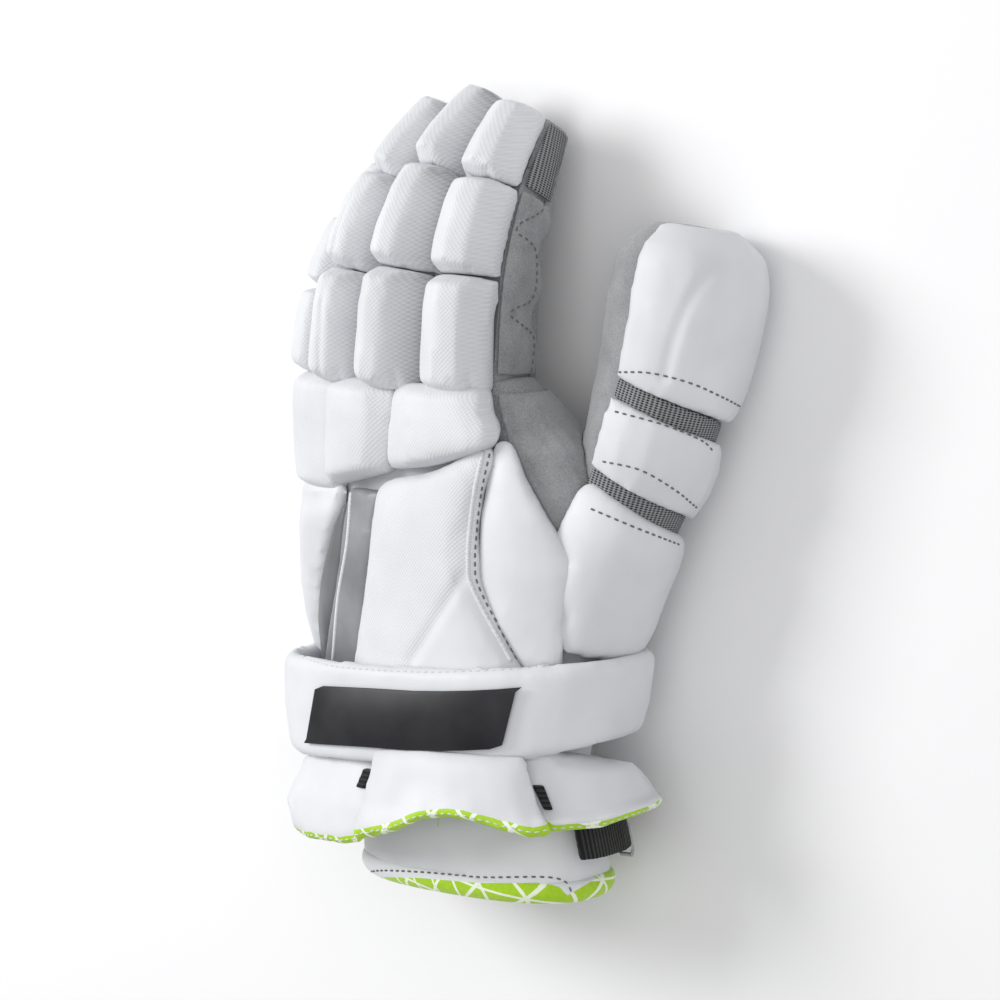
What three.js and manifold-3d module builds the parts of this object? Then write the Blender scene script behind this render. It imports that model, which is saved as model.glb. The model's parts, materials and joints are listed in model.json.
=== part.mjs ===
// A left-hand lacrosse glove lying palm down on a table.
// Millimetres. +X points to the thumb side, +Y to the fingertips and +Z up.
// The origin is on the table, in the middle of the flat patch under the wrist band.
import * as THREE from 'three';
import { mergeVertices } from 'three/addons/utils/BufferGeometryUtils.js';
import Module from 'manifold-3d';

const wasm = await Module();
wasm.setup();

// Driving dimensions: walls and clearances
const LEATHER = 2.2;
const SEAT = 0.9;
const TOUCH = 0.35;
const FINGER_GAP = 0.6;

// Driving dimensions: the hand and the fingers
const PALM_LENGTH = 128;
const WRIST_WIDTH = 130;
const HAND_HEIGHT = 72;
const KNUCKLE_WIDTH = 118;
const FINGER_REACH = 100;
const FINGER_DEPTH = 38;
const ROLL_HEIGHT = 15;
const ROLL_GAP = 1.6;

// Driving dimensions: the padding on the back of the hand
const PAD_HEIGHT = 11;
const VENT_HEIGHT = 6;
const PATCH_HEIGHT = 1.8;

// Driving dimensions: the thumb
const THUMB_REACH = 174;
const THUMB_SPREAD = 47;
const THUMB_WIDTH = 40;
const THUMB_DEPTH = 44;
const THUMB_PAD = 10;
const MESH_THICKNESS = 6;

// Driving dimensions: the wrist band and the cuff
const BAND_HEIGHT = 41;
const BAND_WALL = 6;
const BAND_TILT = 0.09;
const CUFF_LENGTH = 62;
const CUFF_WIDTH = 172;
const CUFF_DEPTH = 98;
const CUFF_WALL = 7;
const SLEEVE_LENGTH = 62;
const SLEEVE_WIDTH = 112;
const SLEEVE_DEPTH = 62;
const SLEEVE_WALL = 5;
const STRAP_WIDTH = 18;
const STRAP_THICKNESS = 2.5;
const BADGE_LENGTH = 98;
const BADGE_HEIGHT = 25;
const BADGE_THICKNESS = 1.6;

const DEGREE = Math.PI / 180;

// Finishes
const white = { color: 0xe6e7ea, roughness: 0.5, metalness: 0 };
const whiteWeave = { color: 0xe0e2e6, roughness: 0.7, metalness: 0 };
const suede = { color: 0xa9abad, roughness: 0.95, metalness: 0 };
const mesh = { color: 0x77797c, roughness: 0.9, metalness: 0 };
const vent = { color: 0x808286, roughness: 0.45, metalness: 0 };
const green = { color: 0xa4cf1c, roughness: 0.85, metalness: 0 };
const black = { color: 0x17181a, roughness: 0.7, metalness: 0 };
const steel = { color: 0xa8aaad, roughness: 0.35, metalness: 0.6 };

const glove = new THREE.Group();

function add(name, finish, geometry) {
  geometry.computeVertexNormals();
  const piece = new THREE.Mesh(geometry, new THREE.MeshStandardMaterial(finish));
  piece.name = name;
  glove.add(piece);
}

function mix(a, b, share) {
  return a + (b - a) * share;
}

// Reads one column of a table at any place between its rows, on a smooth curve through them
function read(rows, column, place) {
  const last = rows.length - 2;
  let i = 0;
  while (i < last && place > rows[i + 1].at) {
    i += 1;
  }
  const slope = (k) => (rows[k + 1][column] - rows[k][column]) / (rows[k + 1].at - rows[k].at);
  const here = slope(i);
  const before = i > 0 ? (slope(i - 1) + here) / 2 : here;
  const after = i < last ? (slope(i + 1) + here) / 2 : here;
  const span = rows[i + 1].at - rows[i].at;
  const t = (place - rows[i].at) / span;
  const start = (2 * t ** 3 - 3 * t ** 2 + 1) * rows[i][column] + (t ** 3 - 2 * t ** 2 + t) * span * before;
  const end = (-2 * t ** 3 + 3 * t ** 2) * rows[i + 1][column] + (t ** 3 - t ** 2) * span * after;
  return start + end;
}

// Raises a number to a power and keeps its sign
function root(value, power) {
  return Math.sign(value) * Math.abs(value) ** power;
}

const NEAR = 0.001;

// The section of a tube at one place: its centre, its two directions and its half sizes.
// A level tube's sections all stand across +Y; another tube's stand across its own path.
function sectionOf(tube, place) {
  const at = (p) => new THREE.Vector3(...['x', 'y', 'z'].map((column) => read(tube.rows, column, p)));
  const across = new THREE.Vector3(1, 0, 0);
  let up = new THREE.Vector3(0, 0, 1);
  if (!tube.level) {
    const step = NEAR * (tube.rows[tube.rows.length - 1].at - tube.rows[0].at);
    const along = at(place + step).sub(at(place - step)).normalize();
    across.addScaledVector(along, -across.dot(along)).normalize();
    up = new THREE.Vector3().crossVectors(across, along);
    const turn = -tube.roll * DEGREE;
    across.applyAxisAngle(along, turn);
    up.applyAxisAngle(along, turn);
  }
  return {
    centre: at(place),
    across,
    up,
    wide: read(tube.rows, 'wide', place),
    deep: read(tube.rows, 'deep', place),
    droop: tube.level ? read(tube.rows, 'droop', place) : 0,
    power: 2 / tube.squareness,
  };
}

// A point on a tube's skin. The angle runs from the back of the hand to the thumb side,
// lift moves the skin outwards all round, and raise moves only its back outwards.
function skin(tube, place, angle, lift = 0, raise = 0) {
  const s = sectionOf(tube, place);
  const side = root(Math.sin(angle * DEGREE), s.power);
  const back = root(Math.cos(angle * DEGREE), s.power);
  const point = s.centre.clone();
  point.addScaledVector(s.across, (s.wide + lift) * side);
  point.addScaledVector(s.up, (s.deep + lift + raise) * back - s.droop * ((1 - side) / 2) ** 2);
  return point;
}

// The angle at which a tube's skin, lifted, lies at a given place across the glove
function angleAt(tube, place, x, lift) {
  const s = sectionOf(tube, place);
  const share = Math.min(1, Math.max(-1, (x - s.centre.x) / (s.wide + lift)));
  return Math.asin(root(share, tube.squareness / 2)) / DEGREE;
}

// Rests a soft point on the table instead of below it
function settle(point) {
  point.z = Math.max(point.z, 0);
  return point;
}

// Joins loops of points into one closed body. Its ends are a 'fan' round the loop's middle,
// a 'ladder' between the two long sides of a thin loop, or a 'ring' back to the first loop.
function loft(loops, ends = 'fan') {
  const count = loops[0].length;
  const position = loops.flat().flatMap((p) => [p.x, p.y, p.z]);
  const index = [];
  const bands = ends === 'ring' ? loops.length : loops.length - 1;
  for (let i = 0; i < bands; i += 1) {
    for (let j = 0; j < count; j += 1) {
      const a = i * count + j;
      const b = i * count + ((j + 1) % count);
      const c = ((i + 1) % loops.length) * count + j;
      const d = ((i + 1) % loops.length) * count + ((j + 1) % count);
      index.push(a, b, d, a, d, c);
    }
  }
  for (const [k, flip] of ends === 'ring' ? [] : [[0, true], [loops.length - 1, false]]) {
    const close = (a, b, c) => index.push(a, flip ? c : b, flip ? b : c);
    const start = k * count;
    if (ends === 'ladder') {
      for (let j = 0; j < count / 2 - 1; j += 1) {
        close(start + j, start + j + 1, start + count - 2 - j);
        close(start + j, start + count - 2 - j, start + count - 1 - j);
      }
    } else {
      const middle = new THREE.Vector3();
      loops[k].forEach((p) => middle.add(p));
      middle.divideScalar(count);
      position.push(middle.x, middle.y, middle.z);
      const hub = position.length / 3 - 1;
      for (let j = 0; j < count; j += 1) {
        close(hub, start + j, start + ((j + 1) % count));
      }
    }
  }
  return outward(position, index);
}

// Makes a geometry whose faces point out: its signed volume tells which way they point
function outward(position, index) {
  let volume = 0;
  const at = (k) => new THREE.Vector3(position[3 * k], position[3 * k + 1], position[3 * k + 2]);
  for (let i = 0; i < index.length; i += 3) {
    volume += at(index[i]).dot(at(index[i + 1]).cross(at(index[i + 2])));
  }
  const turned = [];
  for (let i = 0; i < index.length; i += 3) {
    turned.push(index[i], index[volume > 0 ? i + 1 : i + 2], index[volume > 0 ? i + 2 : i + 1]);
  }
  const geometry = new THREE.BufferGeometry();
  geometry.setAttribute('position', new THREE.Float32BufferAttribute(position, 3));
  geometry.setIndex(turned);
  return geometry;
}

function bodyOf(geometry) {
  const bare = geometry.clone();
  bare.deleteAttribute('normal');
  bare.deleteAttribute('uv');
  const merged = mergeVertices(bare, 1e-4);
  const vertProperties = new Float32Array(merged.attributes.position.array);
  const triVerts = new Uint32Array(merged.index.array);
  return new wasm.Manifold(new wasm.Mesh({ numProp: 3, vertProperties, triVerts }));
}

function geometryOf(body) {
  const made = body.getMesh();
  const geometry = new THREE.BufferGeometry();
  geometry.setAttribute('position', new THREE.BufferAttribute(made.vertProperties, 3));
  geometry.setIndex(new THREE.BufferAttribute(made.triVerts, 1));
  return geometry;
}

function cut(geometry, ...tools) {
  return geometryOf(tools.reduce((body, tool) => body.subtract(bodyOf(tool)), bodyOf(geometry)));
}

function spread(from, to, count) {
  return Array.from({ length: count }, (_, i) => mix(from, to, i / (count - 1)));
}

function loopOn(tube, place, sides, lift, raise = 0) {
  return Array.from({ length: sides }, (_, i) => settle(skin(tube, place, (360 * i) / sides, lift, raise)));
}

// A solid plug of a tube between two places
function plug(tube, places, sides, lift) {
  return loft(places.map((p) => loopOn(tube, p, sides, lift)));
}

const TIP_SHARE = 0.45;

// A hollow stall: open at its first place and closed at its last, like the finger of a glove
function stall(tube, places, sides, wall) {
  const outside = places.map((p) => loopOn(tube, p, sides, 0));
  const tip = places[places.length - 1];
  const inside = places.slice(0, -1).concat(mix(tip, places[places.length - 2], TIP_SHARE));
  const lining = inside.map((p) => loopOn(tube, p, sides, -wall));
  return loft([...lining.reverse(), ...outside]);
}

// A pad laid on a tube. Each row gives the place along the tube, how far that row slants or bows,
// and where the pad starts and ends there: left and right are angles, from and to lie across the
// glove. The top swells between its edges and between its ends.
function pad(tube, rows, { seat, height, rise = 0, edge = 0.35, columns = 7 }) {
  const loops = rows.map((row, i) => {
    const t = i / (rows.length - 1);
    const endSwell = 1 - (1 - edge) * Math.abs(2 * t - 1) ** 6;
    const { skew = 0, bow = 0 } = row;
    const under = [];
    const over = [];
    const left = row.left ?? angleAt(tube, row.at - skew / 2, row.from, seat);
    const right = row.right ?? angleAt(tube, row.at + skew / 2, row.to, seat);
    for (let j = 0; j < columns; j += 1) {
      const c = j / (columns - 1);
      const angle = mix(left, right, c);
      const place = row.at + skew * (c - 0.5) + bow * (1 - (2 * c - 1) ** 2);
      const swell = (edge + (1 - edge) * (1 - Math.abs(2 * c - 1) ** 4)) * endSwell;
      under.push(settle(skin(tube, place, angle, seat)));
      over.unshift(settle(skin(tube, place, angle, seat + height * swell, rise * swell)));
    }
    return [...under, ...over];
  });
  return loft(loops, 'ladder');
}

// The hand: its two edges across the glove, and its lowest and highest leather,
// as shares of the wrist's width and of the hand's height
const handRows = [
  { along: -0.19, outer: -0.5, thumb: 0.41, low: 0.17, high: 1.02, droop: 0.05 },
  { along: 0.02, outer: -0.55, thumb: 0.44, low: 0.1, high: 1.0, droop: 0.08 },
  { along: 0.3, outer: -0.58, thumb: 0.49, low: 0.11, high: 1.0, droop: 0.12 },
  { along: 0.53, outer: -0.59, thumb: 0.52, low: 0.17, high: 0.99, droop: 0.17 },
  { along: 0.77, outer: -0.6, thumb: 0.46, low: 0.27, high: 0.97, droop: 0.2 },
  { along: 0.88, outer: -0.6, thumb: 0.34, low: 0.33, high: 0.96, droop: 0.21 },
  { along: 1, outer: -0.6, thumb: 0.23, low: 0.39, high: 0.95, droop: 0.22 },
];
const hand = {
  level: true,
  squareness: 2.5,
  rows: handRows.map((r) => ({
    at: r.along * PALM_LENGTH,
    x: ((r.outer + r.thumb) / 2) * WRIST_WIDTH,
    y: r.along * PALM_LENGTH,
    z: ((r.low + r.high) / 2) * HAND_HEIGHT,
    wide: ((r.thumb - r.outer) / 2) * WRIST_WIDTH,
    deep: ((r.high - r.low) / 2) * HAND_HEIGHT,
    droop: r.droop * HAND_HEIGHT,
  })),
};
const HAND_SIDES = 28;

// The fingers, each with its turn about its own length and a row for its root, joints and tip:
// across as a share of the knuckles' width, ahead of the reach past the finger roots,
// high of the hand's height, wide of the knuckles' width and deep of the finger's depth
const fingerTable = [
  {
    name: 'index', roll: 5, sides: 2, rows: [
      { at: 0, across: 0.103, ahead: -0.05, high: 0.665, wide: 0.13, deep: 0.5 },
      { at: 0.36, across: 0.117, ahead: 0.37, high: 0.635, wide: 0.125, deep: 0.475 },
      { at: 0.66, across: 0.125, ahead: 0.67, high: 0.5, wide: 0.112, deep: 0.4 },
      { at: 1, across: 0.145, ahead: 0.98, high: 0.25, wide: 0.08, deep: 0.27 },
    ],
  },
  {
    name: 'middle', roll: 6, sides: 3, rows: [
      { at: 0, across: -0.162, ahead: -0.05, high: 0.69, wide: 0.12, deep: 0.5 },
      { at: 0.36, across: -0.135, ahead: 0.38, high: 0.65, wide: 0.115, deep: 0.475 },
      { at: 0.66, across: -0.1, ahead: 0.69, high: 0.48, wide: 0.105, deep: 0.4 },
      { at: 1, across: -0.05, ahead: 1, high: 0.125, wide: 0.078, deep: 0.27 },
    ],
  },
  {
    name: 'ring', roll: 12, sides: 3, rows: [
      { at: 0, across: -0.389, ahead: -0.05, high: 0.63, wide: 0.109, deep: 0.475 },
      { at: 0.36, across: -0.36, ahead: 0.36, high: 0.58, wide: 0.105, deep: 0.45 },
      { at: 0.66, across: -0.31, ahead: 0.66, high: 0.42, wide: 0.098, deep: 0.37 },
      { at: 1, across: -0.225, ahead: 0.97, high: 0.118, wide: 0.075, deep: 0.25 },
    ],
  },
  {
    name: 'little', roll: 32, sides: 3, rows: [
      { at: 0, across: -0.565, ahead: -0.05, high: 0.41, wide: 0.1, deep: 0.42 },
      { at: 0.36, across: -0.54, ahead: 0.26, high: 0.35, wide: 0.096, deep: 0.4 },
      { at: 0.66, across: -0.495, ahead: 0.49, high: 0.25, wide: 0.09, deep: 0.34 },
      { at: 1, across: -0.42, ahead: 0.72, high: 0.11, wide: 0.07, deep: 0.24 },
    ],
  },
];
const FINGER_SIDES = 14;
const fingers = fingerTable.map((f) => ({
  name: f.name,
  roll: f.roll,
  sides: f.sides,
  squareness: 2.6,
  rows: f.rows.map((r) => ({
    at: r.at,
    x: r.across * KNUCKLE_WIDTH,
    y: PALM_LENGTH + r.ahead * FINGER_REACH,
    z: r.high * HAND_HEIGHT,
    wide: r.wide * KNUCKLE_WIDTH - FINGER_GAP / 2,
    deep: r.deep * FINGER_DEPTH,
  })),
}));

// The thumb stands out from the wrist with its back turned to the thumb side
const THUMB_ROOT_ACROSS = 0.34;
const THUMB_ROOT_AHEAD = 0.04;
const thumbRows = [
  { at: 0, out: -0.06, ahead: 0.1, high: 0.56, wide: 0.5, deep: 0.42 },
  { at: 0.22, out: 0.25, ahead: 0.32, high: 0.53, wide: 0.49, deep: 0.42 },
  { at: 0.38, out: 0.5, ahead: 0.47, high: 0.49, wide: 0.49, deep: 0.46 },
  { at: 0.66, out: 0.78, ahead: 0.74, high: 0.43, wide: 0.52, deep: 0.56 },
  { at: 0.86, out: 0.9, ahead: 0.93, high: 0.4, wide: 0.53, deep: 0.6 },
  { at: 0.95, out: 0.95, ahead: 1.01, high: 0.38, wide: 0.47, deep: 0.5 },
  { at: 1, out: 0.97, ahead: 1.055, high: 0.37, wide: 0.24, deep: 0.24 },
];
const thumb = {
  roll: -78,
  squareness: 2.2,
  rows: thumbRows.map((r) => ({
    at: r.at,
    x: THUMB_ROOT_ACROSS * WRIST_WIDTH + r.out * THUMB_SPREAD,
    y: THUMB_ROOT_AHEAD * PALM_LENGTH + r.ahead * THUMB_REACH,
    z: r.high * HAND_HEIGHT,
    wide: r.wide * THUMB_WIDTH,
    deep: r.deep * THUMB_DEPTH,
  })),
};
const THUMB_SIDES = 18;

const THUMB_HOLE = [0, 0.22, 0.5];
const FINGER_HOLE = [-0.04, 0.12];

// Leather palm: the hollow hand, open at the wrist, with a hole for each finger and the thumb
const handPlaces = hand.rows.map((r) => r.at);
const handEnd = handPlaces[handPlaces.length - 1];
const wristEnd = handPlaces[0];
const handCavity = plug(hand, [wristEnd - LEATHER, ...handPlaces.slice(1, -1), handEnd - LEATHER],
  HAND_SIDES, -LEATHER);
const thumbCavity = plug(thumb, THUMB_HOLE, THUMB_SIDES, -LEATHER);
const fingerCavities = fingers.map((f) => plug(f, FINGER_HOLE, FINGER_SIDES, -LEATHER));
const handSolid = plug(hand, handPlaces, HAND_SIDES, 0);
add('palm_shell', suede, cut(handSolid, handCavity, thumbCavity, ...fingerCavities));

// Finger stalls: one leather tube for each finger, closed at the tip
const fingerPlaces = [0, 0.18, 0.36, 0.52, 0.68, 0.86, 1];
const behindFingers = new THREE.BoxGeometry(2 * WRIST_WIDTH, PALM_LENGTH, 2 * HAND_HEIGHT);
behindFingers.translate(0, PALM_LENGTH / 2 + TOUCH, HAND_HEIGHT);
for (const f of fingers) {
  add(`${f.name}_stall`, suede, cut(stall(f, fingerPlaces, FINGER_SIDES, LEATHER), behindFingers));
}

// Finger rolls: three foam pads on the back of each finger, with a groove between them.
// They reach over a whole number of the stall's sides.
const handBlock = plug(hand, handPlaces, HAND_SIDES, TOUCH);
const ROLL_SIDES = 3;
const rollPlaces = { proximal: [0, 0.36], middle: [0.36, 0.68], tip: [0.68, 1] };
const rollShares = [0, 0.08, 0.3, 0.7, 0.92, 1];
const ROLL_SEAM = 0.4;
const ROLL_EDGE = 0.5;
for (const f of fingers) {
  const gap = ROLL_GAP / 2 / FINGER_REACH;
  for (const [place, [from, to]] of Object.entries(rollPlaces)) {
    const rows = rollShares.map((share) => ({
      at: mix(from + gap, to - gap, share),
      left: (-ROLL_SIDES * 360) / FINGER_SIDES,
      right: (f.sides * 360) / FINGER_SIDES,
    }));
    const columns = 1 + ROLL_SIDES + f.sides;
    const size = { seat: SEAT, height: ROLL_SEAM, rise: ROLL_HEIGHT, edge: ROLL_EDGE, columns };
    const roll = pad(f, rows, size);
    add(`${f.name}_roll_${place}`, whiteWeave, place === 'proximal' ? cut(roll, handBlock) : roll);
  }
}

// Index side: a scalloped suede patch beside the rolls, and a piece of mesh at the fingertip
const PATCH_LEFT = 57;
const PATCH_RIGHT = 104;
const PATCH_SCALLOP = 9;
const SCALLOP_WAVES = 2.5;
const PATCH_FROM = 0.06;
const PATCH_TO = 0.68;
const patchSize = { seat: SEAT, height: PATCH_HEIGHT, edge: 0.7, columns: 4 };
add('index_side_patch', suede, pad(fingers[0], spread(0, 1, 13).map((share) => ({
  at: mix(PATCH_FROM, PATCH_TO, share),
  left: PATCH_LEFT,
  right: PATCH_RIGHT + PATCH_SCALLOP * Math.sin(SCALLOP_WAVES * 2 * Math.PI * share),
})), patchSize));
const TIP_MESH_FROM = 0.7;
const TIP_MESH_TO = 0.98;
add('index_tip_mesh', mesh, pad(fingers[0], spread(TIP_MESH_FROM, TIP_MESH_TO, 4).map((at) => ({
  at,
  left: PATCH_LEFT,
  right: PATCH_RIGHT,
})), patchSize));

// Pads on the back of the hand. Rows are shares of the palm's length and of the wrist's width.
function handPad(rows, options) {
  const turned = rows.map((r) => ({
    ...r,
    at: r.at * PALM_LENGTH,
    skew: (r.skew ?? 0) * PALM_LENGTH,
    from: r.from * WRIST_WIDTH,
    to: r.to * WRIST_WIDTH,
  }));
  return pad(hand, turned, options);
}

// Knuckle rolls: a row of pads across the hand behind the fingers
const knuckleRolls = {
  outer: [
    { at: 0.635, left: -95, to: -0.41 },
    { at: 0.655, left: -100, to: -0.404 },
    { at: 0.72, left: -102, to: -0.4 },
    { at: 0.81, left: -102, to: -0.397 },
    { at: 0.88, left: -102, to: -0.396 },
    { at: 0.935, left: -100, to: -0.398 },
    { at: 0.955, left: -95, to: -0.405 },
  ],
  middle: [
    { at: 0.68, skew: 0.05, from: -0.4, to: -0.168 },
    { at: 0.7, skew: 0.05, from: -0.393, to: -0.163 },
    { at: 0.76, skew: 0.04, from: -0.389, to: -0.157 },
    { at: 0.83, skew: 0.02, from: -0.386, to: -0.15 },
    { at: 0.89, from: -0.384, to: -0.143 },
    { at: 0.935, from: -0.386, to: -0.141 },
    { at: 0.955, from: -0.392, to: -0.146 },
  ],
  inner: [
    { at: 0.765, skew: 0.08, from: -0.15, to: 0.21 },
    { at: 0.785, skew: 0.08, from: -0.145, to: 0.22 },
    { at: 0.82, skew: 0.06, from: -0.141, to: 0.222 },
    { at: 0.86, skew: 0.03, from: -0.138, to: 0.212 },
    { at: 0.89, from: -0.132, to: 0.195 },
    { at: 0.935, from: -0.128, to: 0.182 },
    { at: 0.955, from: -0.132, to: 0.174 },
  ],
};
const KNUCKLE_HEIGHT = 0.8 * ROLL_HEIGHT;
const KNUCKLE_RISE = 0.15 * ROLL_HEIGHT;
for (const [name, rows] of Object.entries(knuckleRolls)) {
  const roll = handPad(rows, { seat: SEAT, height: KNUCKLE_HEIGHT, rise: KNUCKLE_RISE, edge: ROLL_EDGE });
  add(`knuckle_roll_${name}`, whiteWeave, cut(roll, handBlock));
}

// Back plate: the big pad on the back of the hand, with its front edge slanted to the thumb
add('back_plate', whiteWeave, handPad([
  { at: 0.05, from: -0.255, to: 0.33 },
  { at: 0.08, from: -0.25, to: 0.322 },
  { at: 0.2, skew: 0.02, from: -0.225, to: 0.256 },
  { at: 0.36, skew: 0.05, from: -0.2, to: 0.182 },
  { at: 0.5, skew: 0.08, from: -0.188, to: 0.168 },
  { at: 0.62, skew: 0.11, from: -0.178, to: 0.184 },
  { at: 0.69, skew: 0.13, from: -0.172, to: 0.21 },
  { at: 0.712, skew: 0.13, from: -0.168, to: 0.205 },
], { seat: SEAT, height: PAD_HEIGHT, edge: 0.6, columns: 9 }));

// Vents: two moulded grey blades, lower than the pads round them
const OUTER_VENT_HEIGHT = 0.7 * VENT_HEIGHT;
add('vent_inner', vent, handPad([
  { at: 0.045, from: -0.455, to: -0.268 },
  { at: 0.2, from: -0.4, to: -0.24 },
  { at: 0.36, from: -0.367, to: -0.214 },
  { at: 0.5, from: -0.353, to: -0.2 },
  { at: 0.635, from: -0.345, to: -0.19 },
], { seat: SEAT, height: VENT_HEIGHT, edge: 0.8 }));
add('vent_outer', vent, handPad([
  { at: 0.045, from: -0.54, to: -0.468 },
  { at: 0.18, from: -0.53, to: -0.42 },
  { at: 0.3, from: -0.505, to: -0.391 },
  { at: 0.42, from: -0.462, to: -0.37 },
  { at: 0.52, from: -0.41, to: -0.361 },
  { at: 0.59, from: -0.374, to: -0.358 },
], { seat: SEAT, height: OUTER_VENT_HEIGHT, edge: 0.7 }));

// Side pads: one round the outer edge of the hand, one between the back plate and the thumb
add('side_pad_outer', white, handPad([
  { at: 0.045, left: -112, to: -0.549 },
  { at: 0.08, left: -116, to: -0.549 },
  { at: 0.18, left: -118, to: -0.542 },
  { at: 0.3, left: -118, to: -0.517 },
  { at: 0.42, left: -118, to: -0.474 },
  { at: 0.52, left: -116, to: -0.422 },
  { at: 0.59, left: -112, to: -0.387 },
  { at: 0.615, left: -108, to: -0.4 },
], { seat: SEAT, height: PAD_HEIGHT, edge: 0.45 }));
const THUMB_SIDE_HEIGHT = 0.7 * PAD_HEIGHT;
function thumbSidePad(margin) {
  const rows = [
    { at: 0.05, from: 0.36, to: 0.4 },
    { at: 0.15, skew: 0.02, from: 0.318, to: 0.405 },
    { at: 0.3, skew: 0.04, from: 0.24, to: 0.43 },
    { at: 0.43, skew: 0.04, from: 0.2, to: 0.462 },
    { at: 0.58, from: 0.206, to: 0.39 },
    { at: 0.7, from: 0.226, to: 0.318 },
    { at: 0.785, from: 0.236, to: 0.262 },
  ];
  const share = margin / WRIST_WIDTH;
  const grown = rows.map((r) => ({ ...r, from: r.from - share, to: r.to + share }));
  return handPad(grown, { seat: SEAT - margin, height: THUMB_SIDE_HEIGHT + 2 * margin, edge: 0.5 });
}
add('side_pad_thumb', white, thumbSidePad(0));

// Web patch: the suede laid over the web between the index finger and the thumb
const thumbPlaces = [0.02, 0.14, 0.27, 0.4, 0.53, 0.66, 0.79, 0.9, 0.96, 1];
const thumbBlock = plug(thumb, thumbPlaces, THUMB_SIDES, TOUCH);
add('web_patch', suede, cut(handPad([
  { at: 0.465, from: 0.466, right: 60 },
  { at: 0.52, from: 0.428, right: 66 },
  { at: 0.6, from: 0.39, right: 71 },
  { at: 0.7, from: 0.33, right: 80 },
  { at: 0.79, from: 0.272, right: 96 },
  { at: 0.86, from: 0.24, right: 118 },
  { at: 0.92, from: 0.212, right: 125 },
  { at: 0.96, from: 0.2, right: 125 },
], { seat: SEAT, height: PATCH_HEIGHT, edge: 0.7 }), thumbBlock, handBlock));

// Thumb stall: the hollow thumb, cut open where it joins the hand
add('thumb_stall', suede, cut(stall(thumb, thumbPlaces, THUMB_SIDES, LEATHER), handBlock));

// Thumb pads, from the wrist to the tip, with two bands of mesh between them
const THUMB_SLANT = -0.085;
const SLANT_FULL = 0.25;
const SLANT_END = 0.95;
const SLANT_FADE = 0.2;
const THUMB_PAD_LEFT = -80;
const THUMB_PAD_RIGHT = 100;
const thumbPads = {
  thumb_base: { from: 0.036, to: 0.335, rows: 6, height: THUMB_PAD, finish: white },
  thumb_mesh_lower: { from: 0.342, to: 0.378, rows: 2, height: MESH_THICKNESS, finish: mesh },
  thumb_ring: { from: 0.385, to: 0.54, rows: 4, height: THUMB_PAD, finish: white },
  thumb_mesh_upper: { from: 0.547, to: 0.585, rows: 2, height: MESH_THICKNESS, finish: mesh },
  thumb_cap: { from: 0.592, to: 1, rows: 9, height: THUMB_PAD, finish: white, seat: SEAT + TOUCH },
};
const overPatch = plug(hand, handPlaces, HAND_SIDES, 2 * SEAT + PATCH_HEIGHT + 2 * TOUCH);
for (const [name, p] of Object.entries(thumbPads)) {
  const rows = spread(p.from, p.to, p.rows).map((at) => ({
    at,
    skew: THUMB_SLANT * Math.min(1, Math.max(0, (SLANT_END - at) / SLANT_FADE), at / SLANT_FULL),
    left: THUMB_PAD_LEFT,
    right: THUMB_PAD_RIGHT,
  }));
  const laid = pad(thumb, rows, { seat: p.seat ?? SEAT, height: p.height, edge: 0.8, columns: 10 });
  add(name, p.finish, cut(laid, overPatch, thumbSidePad(TOUCH)));
}

// Wrist band: a padded ring right round the wrist, over the pads of the hand
const BAND_CENTRE = -0.04 * PALM_LENGTH;
const BAND_SIDES = 32;
const BAND_CLEAR = 1.6;
const BAND_CROWN = 1.08;
const BAND_TUCK = 0.16;
const PAD_START = 0.45;
const PAD_SLOPE = 4;
function bandLoop(height, thickness) {
  return Array.from({ length: BAND_SIDES }, (_, i) => {
    const angle = (360 * i) / BAND_SIDES;
    const side = Math.sin(angle * DEGREE);
    const back = Math.cos(angle * DEGREE);
    const onPad = (1 + Math.tanh(PAD_SLOPE * (back + PAD_START))) / 2;
    const tilt = BAND_TILT * side * (WRIST_WIDTH / 2);
    const tuck = height < 0 ? BAND_TUCK * Math.max(0, side) ** 2 * BAND_HEIGHT : 0;
    const place = BAND_CENTRE + height * BAND_HEIGHT + tilt + tuck;
    const lift = BAND_CLEAR + onPad * (SEAT + PAD_HEIGHT);
    return settle(skin(hand, place, angle, lift + thickness * BAND_WALL));
  });
}
const bandSection = [
  { height: -0.47, thickness: 0 },
  { height: 0.47, thickness: 0 },
  { height: 0.5, thickness: 0.4 },
  { height: 0.42, thickness: 0.95 },
  { height: 0, thickness: BAND_CROWN },
  { height: -0.42, thickness: 0.95 },
  { height: -0.5, thickness: 0.4 },
];
add('wrist_band', white, loft(bandSection.map((r) => bandLoop(r.height, r.thickness)), 'ring'));

// Badge: a plain bevelled plate on the back of the band
const badgeLift = BAND_CLEAR + SEAT + PAD_HEIGHT + BAND_CROWN * BAND_WALL + 2 * TOUCH;
const BADGE_LEAN = 0.6;
const BADGE_TAPER = 0.2;
add('band_badge', black, pad(hand, [
  { share: -0.5, lean: 0.1 },
  { share: -0.42, lean: 0.04 },
  { share: 0.42, lean: -0.04 },
  { share: 0.5, lean: -0.1 },
].map((r) => ({
  at: BAND_CENTRE + r.share * BADGE_HEIGHT,
  skew: BAND_TILT * BADGE_LENGTH,
  from: (-0.5 + Math.abs(r.lean) * BADGE_TAPER - r.lean * BADGE_LEAN) * BADGE_LENGTH,
  to: (0.5 - Math.abs(r.lean) * BADGE_TAPER - r.lean * BADGE_LEAN) * BADGE_LENGTH,
})), { seat: badgeLift, height: BADGE_THICKNESS, edge: 0.6, columns: 8 }));

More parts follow.
